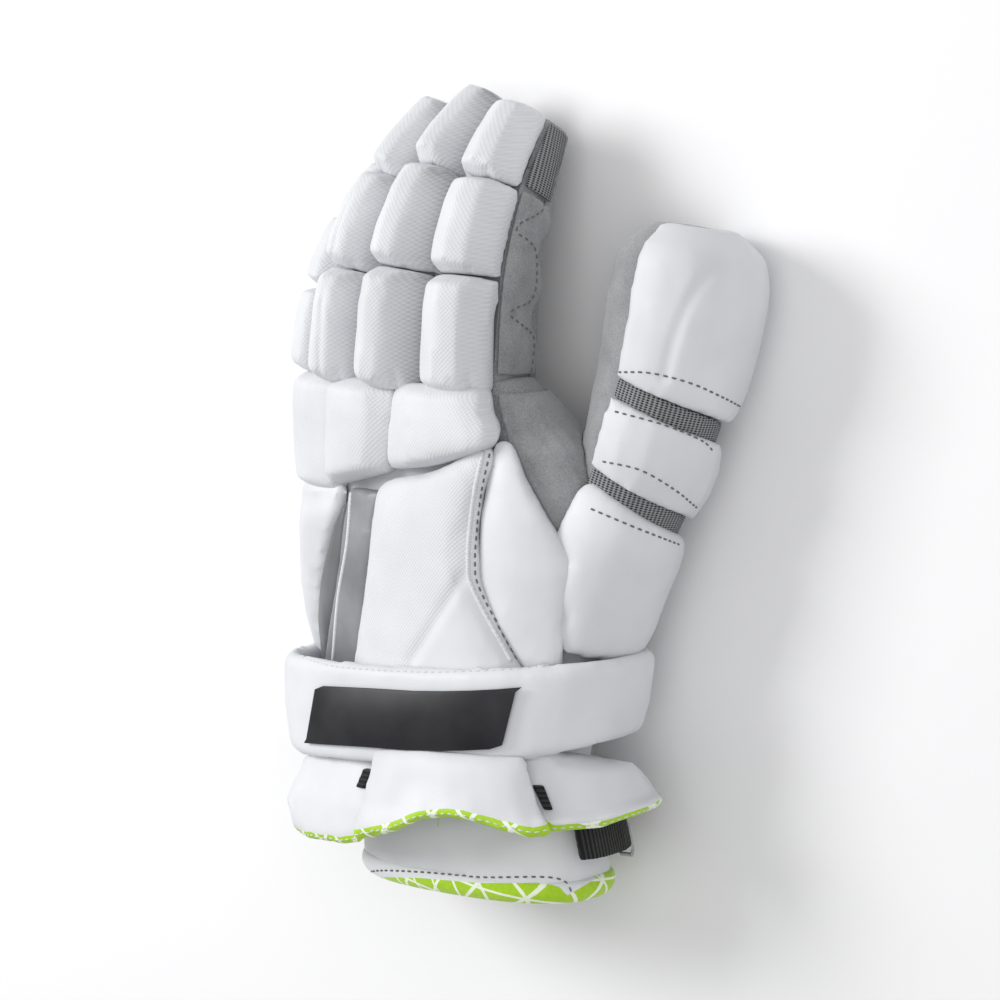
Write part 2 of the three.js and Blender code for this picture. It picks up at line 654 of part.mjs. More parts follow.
// Cuff: three flared panels that start under the band; the middle one lies over the other two
const cuffRows = [
  { along: 0, width: 0.755, depth: 0.672, high: 0.56, shift: 0 },
  { along: 0.4, width: 0.78, depth: 0.72, high: 0.59, shift: 0.035 },
  { along: 0.7, width: 0.88, depth: 0.84, high: 0.62, shift: 0.05 },
  { along: 1, width: 0.94, depth: 0.9, high: 0.64, shift: 0.06 },
];
const cuff = {
  level: true,
  squareness: 2.4,
  rows: cuffRows.map((r) => ({
    at: r.along,
    x: ((handRows[0].outer + handRows[0].thumb) / 2) * WRIST_WIDTH + r.shift * CUFF_WIDTH,
    y: -r.along * CUFF_LENGTH,
    z: r.high * HAND_HEIGHT,
    wide: (r.width * CUFF_WIDTH) / 2,
    deep: (r.depth * CUFF_DEPTH) / 2,
    droop: (1 - r.along) * handRows[0].droop * HAND_HEIGHT,
  })),
};
const sidePanel = { seat: SEAT, height: CUFF_WALL, edge: 0.6, columns: 8 };
const overSidePanels = 2 * SEAT + CUFF_WALL;
add('cuff_panel_outer', white, pad(cuff, [
  { at: 0.1, left: -70, right: -10 },
  { at: 0.4, left: -76, right: -4 },
  { at: 0.57, left: -92, right: 0 },
  { at: 0.7, left: -110, right: 0 },
  { at: 0.88, left: -116, right: 0 },
  { at: 0.96, left: -108, right: -2 },
], { ...sidePanel, seat: SEAT + TOUCH }));
add('cuff_panel_thumb', white, pad(cuff, [
  { at: 0.1, left: 20, right: 50 },
  { at: 0.26, left: 15, right: 55 },
  { at: 0.38, left: 11, right: 98 },
  { at: 0.52, left: 8, right: 112 },
  { at: 0.74, left: 7, right: 116, skew: -0.06 },
  { at: 0.82, left: 9, right: 108, skew: -0.1 },
], sidePanel));
add('cuff_panel_middle', white, pad(cuff, [
  { at: 0.445, left: -8, right: 38 },
  { at: 0.5, left: -8, right: 39 },
  { at: 0.6, left: -9, right: 41, skew: -0.03 },
  { at: 0.72, left: -10, right: 43, skew: -0.07, bow: -0.03 },
  { at: 0.81, left: -11, right: 45, skew: -0.1, bow: -0.08 },
  { at: 0.86, left: -10, right: 44, skew: -0.1, bow: -0.1 },
], { seat: overSidePanels, height: CUFF_WALL, edge: 0.5, columns: 8 }));
const cuffTab = { seat: SEAT + CUFF_WALL + TOUCH / 2, height: STRAP_THICKNESS, edge: 1, columns: 2 };
add('cuff_tab_outer', black, pad(cuff, [
  { at: 0.46, left: -13, right: -9.5 },
  { at: 0.58, left: -14, right: -11 },
], cuffTab));
add('cuff_tab_thumb', black, pad(cuff, [
  { at: 0.44, left: 40.5, right: 45 },
  { at: 0.58, left: 43.5, right: 47 },
], cuffTab));

// Sleeve: the inner cuff round the wrist, with the rolled edge of its lining at the end
const SLEEVE_START = 0.13;
const sleeveRows = [
  { along: 0, width: 0.98, depth: 0.885, shift: 0, droop: 1 },
  { along: 0.14, width: 0.98, depth: 0.885, shift: 0, droop: 1 },
  { along: 0.5, width: 1, depth: 1, shift: 0.07, droop: 0.4 },
  { along: 1, width: 0.98, depth: 1, shift: 0.1, droop: 0 },
];
const sleeve = {
  level: true,
  squareness: hand.squareness,
  rows: sleeveRows.map((r) => ({
    at: r.along,
    x: ((handRows[0].outer + handRows[0].thumb) / 2 + r.shift) * WRIST_WIDTH,
    y: -SLEEVE_START * PALM_LENGTH - r.along * SLEEVE_LENGTH,
    z: ((handRows[0].low + handRows[0].high) / 2) * HAND_HEIGHT,
    wide: (r.width * SLEEVE_WIDTH) / 2,
    deep: (r.depth * SLEEVE_DEPTH) / 2,
    droop: r.droop * handRows[0].droop * HAND_HEIGHT,
  })),
};
const SLEEVE_FINISH = 0.85;
const sleeveSkin = [0, 0.14, 0.5, SLEEVE_FINISH].map((p) => loopOn(sleeve, p, HAND_SIDES, 0));
const sleeveInside = [SLEEVE_FINISH, 0.5, 0].map((p) => loopOn(sleeve, p, HAND_SIDES, -SLEEVE_WALL));
add('sleeve', white, loft([...sleeveSkin, ...sleeveInside], 'ring'));
const liningRows = [
  { along: 0, lift: 0.1 },
  { along: 0.5, lift: 0.25 },
  { along: 0.85, lift: -0.1 },
  { along: 1, lift: -0.5 },
  { along: 0.85, lift: -0.95 },
  { along: 0, lift: -1.1 },
];
const LINING_START = SLEEVE_FINISH + TOUCH / SLEEVE_LENGTH;
add('lining_roll', green, loft(liningRows.map((r) => (
  loopOn(sleeve, mix(LINING_START, 1, r.along), HAND_SIDES, r.lift * SLEEVE_WALL)
)), 'ring'));

// Closing strap: black elastic that stands off the thumb side of the sleeve, with a wire loop
const STRAP_SLACK = 6;
const strapTube = { ...sleeve, rows: sleeve.rows.map((r) => ({ ...r, x: r.x + STRAP_SLACK })) };
const STRAP_START = 0.4;
const STRAP_FINISH = STRAP_START + STRAP_WIDTH / SLEEVE_LENGTH;
const STRAP_FROM = 64;
const STRAP_TO = 178;
const STRAP_STEPS = 10;
add('closure_strap', black, pad(strapTube, [
  { at: STRAP_START, left: STRAP_FROM, right: STRAP_TO },
  { at: STRAP_FINISH, left: STRAP_FROM, right: STRAP_TO },
], { seat: SEAT, height: STRAP_THICKNESS, edge: 1, columns: STRAP_STEPS + 1 }));

// Wire loop: a rounded rectangle of wire round the strap
const WIRE = 1.1;
const LOOP_SIDES = 8;
const LOOP_CORNER = 0.4;
const WIRE_SIDES = 5;
const strapMiddle = (STRAP_START + STRAP_FINISH) / 2;
const strapCore = SEAT + STRAP_THICKNESS / 2;
const loopAngle = mix(STRAP_FROM, STRAP_TO, 3 / STRAP_STEPS);
const loopCentre = skin(strapTube, strapMiddle, loopAngle, strapCore);
const loopOut = skin(strapTube, strapMiddle, loopAngle, strapCore + 1).sub(loopCentre).normalize();
const loopAlong = skin(strapTube, STRAP_START, loopAngle, strapCore);
loopAlong.sub(skin(strapTube, STRAP_FINISH, loopAngle, strapCore)).normalize();
const loopAxis = new THREE.Vector3().crossVectors(loopAlong, loopOut);
const loopReach = STRAP_WIDTH / 2 + SEAT + WIRE;
const loopRise = STRAP_THICKNESS / 2 + SEAT + TOUCH + WIRE;
add('strap_loop', steel, loft(Array.from({ length: LOOP_SIDES }, (_, i) => {
  const turn = (2 * Math.PI * (i + 0.5)) / LOOP_SIDES;
  const centre = loopCentre.clone();
  centre.addScaledVector(loopAlong, loopReach * root(Math.cos(turn), LOOP_CORNER));
  centre.addScaledVector(loopOut, loopRise * root(Math.sin(turn), LOOP_CORNER));
  const away = centre.clone().sub(loopCentre).normalize();
  return Array.from({ length: WIRE_SIDES }, (_unused, j) => {
    const round = (2 * Math.PI * j) / WIRE_SIDES;
    const point = centre.clone().addScaledVector(away, WIRE * Math.cos(round));
    return point.addScaledVector(loopAxis, WIRE * Math.sin(round));
  });
}), 'ring'));

export default glove;
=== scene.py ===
"""A white lacrosse glove lying palm down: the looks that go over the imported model."""
import json
import math

import bmesh
import bpy
import numpy as np
from mathutils import Matrix, Vector
from mathutils.bvhtree import BVHTree

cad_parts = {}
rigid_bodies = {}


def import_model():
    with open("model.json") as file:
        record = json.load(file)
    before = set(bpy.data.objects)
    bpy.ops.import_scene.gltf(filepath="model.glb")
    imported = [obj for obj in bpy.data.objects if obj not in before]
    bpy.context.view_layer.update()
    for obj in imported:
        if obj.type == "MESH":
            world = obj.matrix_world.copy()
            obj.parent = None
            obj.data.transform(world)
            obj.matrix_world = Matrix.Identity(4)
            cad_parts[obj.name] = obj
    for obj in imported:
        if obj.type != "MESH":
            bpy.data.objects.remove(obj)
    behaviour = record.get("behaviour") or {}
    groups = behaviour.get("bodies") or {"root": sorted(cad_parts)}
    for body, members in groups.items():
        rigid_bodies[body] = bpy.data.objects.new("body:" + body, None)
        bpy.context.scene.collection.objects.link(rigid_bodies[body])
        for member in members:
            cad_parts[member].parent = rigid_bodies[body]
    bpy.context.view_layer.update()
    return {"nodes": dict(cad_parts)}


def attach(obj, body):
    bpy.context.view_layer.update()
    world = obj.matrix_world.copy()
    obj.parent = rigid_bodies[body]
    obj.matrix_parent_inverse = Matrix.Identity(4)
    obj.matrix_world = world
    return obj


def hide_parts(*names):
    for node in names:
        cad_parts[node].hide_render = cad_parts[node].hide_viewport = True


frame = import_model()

scene = bpy.context.scene

# ---- The camera -------------------------------------------------------------------------------
# The photograph looks down on the back of the hand from the thumb side and a little from the
# fingertips. One of its pixels covers 0.4 mm at the middle of the glove.
PIXEL = 0.0004
PHOTO_MIDDLE = 500
DISTANCE = 1.3
TARGET = Vector((0.0147, 0.078, 0.045))
TURN = math.radians(36)
PITCH = math.radians(7)
toward = Vector((math.sin(TURN) * math.cos(PITCH), math.sin(PITCH),
                 math.cos(TURN) * math.cos(PITCH)))
right = Vector((math.cos(TURN), 0, -math.sin(TURN)))
upward = toward.cross(right)
eye = TARGET + toward * DISTANCE
camera_data = bpy.data.cameras.new("camera")
camera_data.sensor_width = 36
camera_data.lens = camera_data.sensor_width * DISTANCE / (2 * PHOTO_MIDDLE * PIXEL)
camera = bpy.data.objects.new("camera", camera_data)
facing_back = Matrix((right, upward, toward)).transposed().to_4x4()
camera.matrix_world = Matrix.Translation(eye) @ facing_back
scene.collection.objects.link(camera)
scene.camera = camera


def seen_at(points):
    """Pixels of the photograph at which an array of points shows: perspective from the eye."""
    q = np.asarray(points) - np.array(TARGET)
    scale = DISTANCE / (DISTANCE - q @ np.array(toward)) / PIXEL
    u = PHOTO_MIDDLE + (q @ np.array(right)) * scale
    v = PHOTO_MIDDLE - (q @ np.array(upward)) * scale
    return np.stack([u, v], 1)


# ---- Padded covers ----------------------------------------------------------------------------
# Each pad is foam under a cover that is sewn down at its edges. It starts from the solid's own
# form, is rounded where the cover turns over the foam, and is blown up a little as cloth.
ACROSS, ALONG, UP = 0, 1, 2
WELD = 1e-6
FLOOR_CLEAR = 0.0002
CLOTH_FRAMES, CLOTH_QUALITY, CLOTH_MASS, CLOTH_STIFFNESS = 20, 4, 0.2, 12
PRESSURE, ROLL_CAP, PAD_CAP = 4, 0.0006, 0.001
ROLL_CELL, PAD_CELL, ROUNDING = 0.0016, 0.002, 2
ROLL_SWELL, KNUCKLE_SWELL, BACK_SWELL = 0.001, 0.0015, 0.0014
THUMB_SWELL, CUFF_SWELL = 0.0012, 0.0006


def read_mesh(mesh):
    """The points and the faces' edges of a mesh, as arrays."""
    co = np.empty(len(mesh.vertices) * 3)
    mesh.vertices.foreach_get("co", co)
    edges = np.empty(len(mesh.edges) * 2, int)
    mesh.edges.foreach_get("vertices", edges)
    return co.reshape(-1, 3), edges.reshape(-1, 2)


def write_points(mesh, co):
    """Puts an array of points back into a mesh."""
    mesh.vertices.foreach_set("co", co.ravel())
    mesh.update()


def normals_of(mesh):
    """The normals at the points of a mesh, as an array."""
    out = np.empty(len(mesh.vertices) * 3)
    mesh.vertices.foreach_get("normal", out)
    return out.reshape(-1, 3)


def relax(co, edges, rounds, share=0.5):
    """Moves each point a share of the way to the mean of its neighbours, some rounds over."""
    count = np.maximum(np.bincount(edges.ravel(), minlength=len(co)), 1)[:, None]
    for _ in range(rounds):
        near = np.stack([
            np.bincount(edges[:, 0], co[edges[:, 1], k], len(co))
            + np.bincount(edges[:, 1], co[edges[:, 0], k], len(co))
            for k in range(3)
        ], 1) / count
        co = co + share * (near - co)
    return co


def settled(holder):
    """A new mesh with what an object's modifiers make of it."""
    depsgraph = bpy.context.evaluated_depsgraph_get()
    return bpy.data.meshes.new_from_object(holder.evaluated_get(depsgraph))


def form_of(node, cell, rounds, swell=0.0):
    """A mesh of even cells round a CAD solid that is first thickened by swell along its
    normals, so that its thin edges stay whole, and then rounded."""
    source = frame["nodes"][node]
    welded = bmesh.new()
    welded.from_mesh(source.data)
    bmesh.ops.remove_doubles(welded, verts=welded.verts, dist=WELD)
    start = bpy.data.meshes.new(node + "_start")
    welded.to_mesh(start)
    welded.free()
    co, _ = read_mesh(start)
    write_points(start, co + swell * normals_of(start))
    holder = bpy.data.objects.new(node + "_start", start)
    scene.collection.objects.link(holder)
    remesh = holder.modifiers.new("cells", "REMESH")
    remesh.mode = "VOXEL"
    remesh.voxel_size = cell
    remesh.use_smooth_shade = True
    mesh = settled(holder)
    bpy.data.objects.remove(holder)
    co, edges = read_mesh(mesh)
    write_points(mesh, relax(co, edges, rounds))
    return mesh


def blow_up(meshes, cap):
    """Runs all meshes as one closed cloth under pressure, without gravity, and moves each point
    by what the cloth moved, at most cap."""
    parts = [read_mesh(m)[0] for m in meshes]
    starts = np.cumsum([0] + [len(p) for p in parts])
    faces = [[v + s for v in f.vertices] for m, s in zip(meshes, starts) for f in m.polygons]
    joined = bpy.data.meshes.new("cloth")
    joined.from_pydata(np.concatenate(parts), [], faces)
    holder = bpy.data.objects.new("cloth", joined)
    scene.collection.objects.link(holder)
    cloth = holder.modifiers.new("cloth", "CLOTH")
    cloth.settings.quality = CLOTH_QUALITY
    cloth.settings.mass = CLOTH_MASS
    cloth.settings.use_pressure = True
    cloth.settings.uniform_pressure_force = PRESSURE
    cloth.settings.effector_weights.gravity = 0
    cloth.settings.tension_stiffness = CLOTH_STIFFNESS
    cloth.settings.compression_stiffness = CLOTH_STIFFNESS
    cloth.collision_settings.use_collision = False
    cloth.point_cache.frame_end = CLOTH_FRAMES
    for number in range(1, CLOTH_FRAMES + 1):
        scene.frame_set(number)
    moved = holder.evaluated_get(bpy.context.evaluated_depsgraph_get()).to_mesh()
    now = np.empty(starts[-1] * 3)
    moved.vertices.foreach_get("co", now)
    now = now.reshape(-1, 3)
    scene.frame_set(1)
    bpy.data.objects.remove(holder)
    for mesh, part, s in zip(meshes, parts, starts):
        step = now[s:s + len(part)] - part
        length = np.linalg.norm(step, axis=1, keepdims=True)
        write_points(mesh, part + step * np.minimum(1, cap / np.maximum(length, 1e-9)))


def reach(mesh, axis, start, end, far):
    """Stretches the end of a mesh: from start to end along an axis, points move by a smooth
    share of far."""
    co, _ = read_mesh(mesh)
    share = np.clip((co[:, axis] - start) / (end - start), 0, 1)
    co[:, axis] += far * share * share * (3 - 2 * share)
    write_points(mesh, co)


def widen(mesh, amount):
    """Moves the sides of a mesh outwards: the level share of each normal times amount."""
    co, _ = read_mesh(mesh)
    co[:, :2] += amount * normals_of(mesh)[:, :2]
    write_points(mesh, co)


def span_of(mesh, axis):
    """The least and the greatest place of a mesh along an axis."""
    co, _ = read_mesh(mesh)
    return co[:, axis].min(), co[:, axis].max()


def slice_ends(co, axis):
    """The least and greatest place along an axis in the 2 mm slice across the hand that each
    point lies in, evened out over five slices."""
    slices = np.digitize(co[:, 1], np.arange(co[:, 1].min(), co[:, 1].max(), SLICE))
    count = slices.max() + 1
    places = np.arange(count)
    found = np.isin(places, slices)
    out = []
    for gather, start in ((np.minimum, np.inf), (np.maximum, -np.inf)):
        rows = np.full(count, start)
        gather.at(rows, slices, co[:, axis])
        rows = np.interp(places, places[found], rows[found])
        out.append(np.convolve(np.pad(rows, 2, mode="edge"), np.ones(5) / 5, "valid")[slices])
    return out


def slope_side(mesh, share):
    """Slopes the thumb side of a roll inwards towards its top: at each slice along the hand,
    points above two fifths of the slice's height move towards its outer edge by up to share."""
    co, _ = read_mesh(mesh)
    floor_z, top_z = slice_ends(co, UP)
    left_x, _ = slice_ends(co, ACROSS)
    height = (co[:, 2] - floor_z) / (top_z - floor_z)
    height = np.clip((height - SLOPE_FROM) / (1 - SLOPE_FROM), 0, 1)
    co[:, 0] = left_x + (co[:, 0] - left_x) * (1 - share * height)
    write_points(mesh, co)


INDEX, MIDDLE, RING, LITTLE = "index", "middle", "ring", "little"
FINGERS = (INDEX, MIDDLE, RING, LITTLE)
roll_names = [f"{f}_roll_{p}" for f in FINGERS for p in ("proximal", "middle", "tip")]
knuckle_names = ["knuckle_roll_outer", "knuckle_roll_middle", "knuckle_roll_inner"]
thumb_pad_names = ["thumb_base", "thumb_ring", "thumb_cap"]
cuff_names = ["cuff_panel_outer", "cuff_panel_thumb", "cuff_panel_middle"]
pad_names = ["back_plate", "side_pad_outer", "side_pad_thumb", "wrist_band",
             "vent_inner", "vent_outer"]
swells = {n: ROLL_SWELL for n in roll_names}
swells.update({n: KNUCKLE_SWELL for n in knuckle_names})
swells.update({n: BACK_SWELL for n in pad_names})
swells.update({n: THUMB_SWELL for n in thumb_pad_names})
swells.update({n: CUFF_SWELL for n in cuff_names + ["wrist_band", "vent_inner", "vent_outer"]})
forms = {}
for name, swell in swells.items():
    cell = ROLL_CELL if "roll" in name else PAD_CELL
    forms[name] = form_of(name, cell, ROUNDING, swell)

# Neighbours press on each other: the rolls lean, and ends and sides close the gaps.
SLICE = 0.002
SLOPE_FROM = 0.4
SLOPES = {INDEX: 0.02, MIDDLE: 0.27, RING: 0.27, LITTLE: 0.15}
ROLL_END, KNUCKLE_TO_TIPS, ROLL_TO_WRIST = 0.008, 0.0022, -0.0016
PAD_END, PAD_TO_TIPS = 0.012, 0.0025
CUFF_END, CUFF_TO_TIPS = 0.014, 0.012
HAND_WIDEN, THUMB_WIDEN, THUMB_ROUNDING = 0.0018, 0.0024, 6
for finger, share in SLOPES.items():
    for place in ("proximal", "middle", "tip"):
        slope_side(forms[f"{finger}_roll_{place}"], share)
for name in knuckle_names:
    low, high = span_of(forms[name], ALONG)
    reach(forms[name], ALONG, high - ROLL_END, high, KNUCKLE_TO_TIPS)
    reach(forms[name], ALONG, low + ROLL_END, low, ROLL_TO_WRIST)
for finger in FINGERS:
    roll = forms[finger + "_roll_proximal"]
    low, _ = span_of(roll, ALONG)
    reach(roll, ALONG, low + ROLL_END, low, ROLL_TO_WRIST)
for name in ("back_plate", "side_pad_outer", "side_pad_thumb"):
    _, high = span_of(forms[name], ALONG)
    reach(forms[name], ALONG, high - PAD_END, high, PAD_TO_TIPS)
for name in ("back_plate", "side_pad_thumb"):
    widen(forms[name], HAND_WIDEN)
widen(forms["thumb_base"], THUMB_WIDEN)
for name in ("thumb_base", "thumb_cap"):
    co, edges = read_mesh(forms[name])
    write_points(forms[name], relax(co, edges, THUMB_ROUNDING))
_, high = span_of(forms["cuff_panel_middle"], ALONG)
reach(forms["cuff_panel_middle"], ALONG, high - CUFF_END, high, CUFF_TO_TIPS)
blow_up([forms[n] for n in roll_names + knuckle_names], ROLL_CAP)
blow_up([forms[n] for n in pad_names + thumb_pad_names + cuff_names], PAD_CAP)


# ---- Lines sewn or pressed into the pads ------------------------------------------------------
# Sewn lines pull the cover down into the foam. Those that the photograph shows are placed by its
# pixels, on the piece that they are sewn into.
def tree_of(mesh):
    """A search tree over the faces of a mesh."""
    co, _ = read_mesh(mesh)
    faces = [tuple(f.vertices) for f in mesh.polygons]
    return BVHTree.FromPolygons([tuple(p) for p in co], faces)


def smooth_line(points, count):
    """A curve of count points at even steps through rough points, by Catmull-Rom pieces."""
    p = np.asarray(points, float)
    p = np.concatenate([2 * p[:1] - p[1:2], p, 2 * p[-1:] - p[-2:-1]])
    t = np.linspace(0, len(p) - 3 - 1e-6, 12 * len(p))
    i = t.astype(int)
    s = (t - i)[:, None]
    a, b, c, d = p[i], p[i + 1], p[i + 2], p[i + 3]
    fine = 0.5 * (2 * b + (c - a) * s + (2 * a - 5 * b + 4 * c - d) * s ** 2
                  + (3 * b - a - 3 * c + d) * s ** 3)
    run = np.concatenate([[0], np.cumsum(np.linalg.norm(np.diff(fine, axis=0), axis=1))])
    even = np.linspace(0, run[-1], count)
    return np.stack([np.interp(even, run, fine[:, k]) for k in range(fine.shape[1])], 1)


def seen_line(pixels, meshes, count=60):
    """Casts a line of the photograph's pixels onto meshes: the points hit first, and the
    normals there. Where the line misses, its points are left out."""
    trees = [tree_of(m) for m in meshes]
    places, facing = [], []
    for u, v in smooth_line(pixels, count):
        aim = (right * (u - PHOTO_MIDDLE) * PIXEL + upward * (PHOTO_MIDDLE - v) * PIXEL
               - toward * DISTANCE)
        hits = [t.ray_cast(eye, aim.normalized()) for t in trees]
        hits = [h for h in hits if h[0] is not None]
        if hits:
            place, normal, _, _ = min(hits, key=lambda h: h[3])
            places.append(place)
            facing.append(normal)
    return np.array(places), np.array(facing)


def press(mesh, line, width, depth):
    """Pushes a groove into a mesh along a line: depth times a bell curve of the distance."""
    if len(line) == 0:
        return
    co, _ = read_mesh(mesh)
    gap = np.sqrt(((co[:, None, :] - line[None, :, :]) ** 2).sum(2)).min(1)
    sink = depth * np.exp(-((gap / width) ** 2))
    write_points(mesh, co - sink[:, None] * normals_of(mesh))


PRESSED = [
    ("thumb_cap", [(664, 378), (672, 345), (684, 312), (700, 284), (722, 262), (748, 250)],
     0.0022, 0.0011),
    ("back_plate", [(462, 577), (440, 613), (410, 662)], 0.0022, 0.0012),
    ("side_pad_outer", [(300, 500), (318, 496), (333, 498)], 0.005, 0.0018),
]
for name, pixels, width, depth in PRESSED:
    seam, _ = seen_line(pixels, [forms[name]])
    press(forms[name], seam, width, depth)

# The cover is tucked in at a corner of each roll: two short creases run out of it.
TUCK_WIDTH, TUCK_DEPTH = 0.0011, 0.0009
TUCK_WAYS = ((-3, -17), (-12, -11))
roll_corners = {
    "middle_roll_tip": (440, 182), "ring_roll_tip": (386, 184), "index_roll_tip": (492, 186),
    "index_roll_middle": (474, 286), "middle_roll_middle": (410, 284),
    "ring_roll_middle": (358, 280), "index_roll_proximal": (474, 392),
    "middle_roll_proximal": (399, 390), "ring_roll_proximal": (343, 390),
}
for name, (u, v) in roll_corners.items():
    for left, up in TUCK_WAYS:
        pixels = [(u - 3, v - 2), (u + left, v + up / 2), (u + 2 * left, v + up)]
        tuck, _ = seen_line(pixels, [forms[name]], 12)
        press(forms[name], tuck, TUCK_WIDTH, TUCK_DEPTH)
SEAM_WIDTH, SEAM_DEPTH = 0.0009, 0.0006
for name, pixels in (("ring_roll_proximal", [(322, 290), (319, 340), (320, 385)]),
                     ("ring_roll_middle", [(352, 192), (338, 225), (330, 262)])):
    seam, _ = seen_line(pixels, [forms[name]], 50)
    press(forms[name], seam, SEAM_WIDTH, SEAM_DEPTH)


# ---- The finger and knuckle rolls -------------------------------------------------------------
# White cover cloth pressed with fine slanting ribs. The side of a roll that leans towards the
# thumb, away from the main light, is a greyer weave with painted shade over it, on all fingers but
# the index.
def material(name, color, roughness, specular=0.4, sheen=0.0):
    """A new material: its node tree, and its shader with the plain values set."""
    made = bpy.data.materials.new(name)
    made.use_nodes = True
    shader = made.node_tree.nodes["Principled BSDF"]
    shader.inputs["Base Color"].default_value = (*color, 1)
    shader.inputs["Roughness"].default_value = roughness
    shader.inputs["Specular IOR Level"].default_value = specular
    shader.inputs["Sheen Weight"].default_value = sheen
    return made, made.node_tree, shader


def place_of(tree):
    """The socket with a point's place on the object, in metres."""
    return tree.nodes.new("ShaderNodeTexCoord").outputs["Object"]


def value_of(tree, name):
    """The socket with the number that a mesh keeps for each point under a name."""
    attribute = tree.nodes.new("ShaderNodeAttribute")
    attribute.attribute_name = name
    return attribute.outputs["Fac"]


def sum_of(tree, kind, *values):
    """A Math node of one kind over sockets or numbers."""
    node = tree.nodes.new("ShaderNodeMath")
    node.operation = kind
    for slot, value in zip(node.inputs, values):
        if isinstance(value, (int, float)):
            slot.default_value = value
        else:
            tree.links.new(value, slot)
    return node.outputs[0]


def noise(tree, place, scale, detail=2.0):
    """Noise of a scale in cells a metre."""
    node = tree.nodes.new("ShaderNodeTexNoise")
    node.inputs["Scale"].default_value = scale
    node.inputs["Detail"].default_value = detail
    tree.links.new(place, node.inputs["Vector"])
    return node.outputs["Fac"]


def wave(tree, place, direction, pitch):
    """The sine of the way along a direction, one turn in each pitch."""
    dot = tree.nodes.new("ShaderNodeVectorMath")
    dot.operation = "DOT_PRODUCT"
    dot.inputs[1].default_value = Vector(direction).normalized() * (2 * math.pi / pitch)
    tree.links.new(place, dot.inputs[0])
    return sum_of(tree, "SINE", dot.outputs["Value"])


def two_tone(tree, shader, factor, dark, light, low=0.0, high=1.0):
    """Colours a shader between two colours as a factor goes from low to high."""
    ramp = tree.nodes.new("ShaderNodeValToRGB")
    ramp.color_ramp.elements[0].position = low
    ramp.color_ramp.elements[0].color = (*dark, 1)
    ramp.color_ramp.elements[1].position = high
    ramp.color_ramp.elements[1].color = (*light, 1)
    tree.links.new(factor, ramp.inputs["Fac"])
    tree.links.new(ramp.outputs["Color"], shader.inputs["Base Color"])


def lay_over(tree, shader, share, color):
    """Mixes a second colour over a shader's own by a share."""
    over = tree.nodes.new("ShaderNodeMixRGB")
    tree.links.new(share, over.inputs["Fac"])
    tree.links.new(shader.inputs["Base Color"].links[0].from_socket, over.inputs["Color1"])
    over.inputs["Color2"].default_value = (*color, 1)
    tree.links.new(over.outputs["Color"], shader.inputs["Base Color"])


def bump(tree, shader, height, strength, distance):
    """Gives a shader the relief of a height."""
    node = tree.nodes.new("ShaderNodeBump")
    node.inputs["Strength"].default_value = strength
    node.inputs["Distance"].default_value = distance
    tree.links.new(height, node.inputs["Height"])
    tree.links.new(node.outputs["Normal"], shader.inputs["Normal"])


def set_zone(mesh, values, name="zone"):
    """Writes one number for each point of a mesh into an attribute."""
    zone = mesh.attributes.new(name, "FLOAT", "POINT")
    zone.data.foreach_set("value", np.asarray(values, float))


def ribbed_white(name, masked=False):
    """White cover pressed with fine slanting ribs and a weaker cross pattern, and on the sides
    marked in the attribute side a greyer weave with painted shade.
    """
    made, tree, shader = material(name, WHITE_HIGH, 0.55, 0.35)
    place = place_of(tree)
    rib = wave(tree, place, (0.75, 0.6, 0.25), RIB_PITCH)
    cross = wave(tree, place, (0.75, -0.6, 0.25), RIB_PITCH)
    weave = sum_of(tree, "ADD", rib, cross)
    if masked:
        weave = sum_of(tree, "MULTIPLY", weave,
                       sum_of(tree, "SUBTRACT", 1.0, value_of(tree, "plain")))
    height = sum_of(tree, "ADD", weave, noise(tree, place, 900, 2))
    two_tone(tree, shader, sum_of(tree, "MULTIPLY_ADD", weave, 0.12, noise(tree, place, 40)),
             WHITE_LOW, WHITE_HIGH, 0.25, 0.75)
    # The sides get the greyer weave and painted shade as one mixed colour, a little lighter on the
    # ribs.
    weave_and_shade = sum_of(tree, "MULTIPLY_ADD", weave, -0.1, 0.8)
    lay_over(tree, shader, sum_of(tree, "MULTIPLY", value_of(tree, "side"), weave_and_shade), SIDE_GREY_AND_SHADE)
    bump(tree, shader, height, 0.26, 0.00016)
    return made


def rest_on_floor(mesh):
    """Flattens a soft mesh where it would reach below the surface that it lies on."""
    co, _ = read_mesh(mesh)
    co[:, 2] = np.maximum(co[:, 2], FLOOR_CLEAR)
    write_points(mesh, co)


def show(name, mesh, finish, node, levels=1):
    """Makes a mesh the shown piece of a CAD node, with its finish, in the node's place on the root
    body.
    """
    rest_on_floor(mesh)
    piece = bpy.data.objects.new(name, mesh)
    scene.collection.objects.link(piece)
    mesh.materials.clear()
    mesh.materials.append(finish)
    mesh.polygons.foreach_set("use_smooth", [True] * len(mesh.polygons))
    if levels:
        finer = piece.modifiers.new("finer", "SUBSURF")
        finer.levels = levels
        finer.render_levels = levels
    if node:
        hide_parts(node)
    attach(piece, "root")
    return piece


WHITE_LOW, WHITE_HIGH = (0.63, 0.64, 0.668), (0.70, 0.71, 0.735)
SIDE_GREY_AND_SHADE = (0.27, 0.274, 0.29)
RIB_PITCH = 0.0011
# Painted shade with the greyer weave goes on the thumb half of each roll, where its normal turns
# towards the thumb, away from the main light.
SIDE_FROM, SIDE_LEAN, LEAN_BLEND = 0.5, 0.25, 0.5
white_ribbed = ribbed_white("white_ribbed")
for name in roll_names:
    if not name.startswith(INDEX):
        co, _ = read_mesh(forms[name])
        left_x, right_x = slice_ends(co, ACROSS)
        across = np.clip((co[:, 0] - left_x) / (right_x - left_x) / SIDE_FROM - 1, 0, 1)
        lean = np.clip((normals_of(forms[name])[:, 0] - SIDE_LEAN) / LEAN_BLEND, 0, 1)
        set_zone(forms[name], across * lean, "side")
for name in roll_names + knuckle_names:
    show(name + "_cover", forms[name], white_ribbed, name)


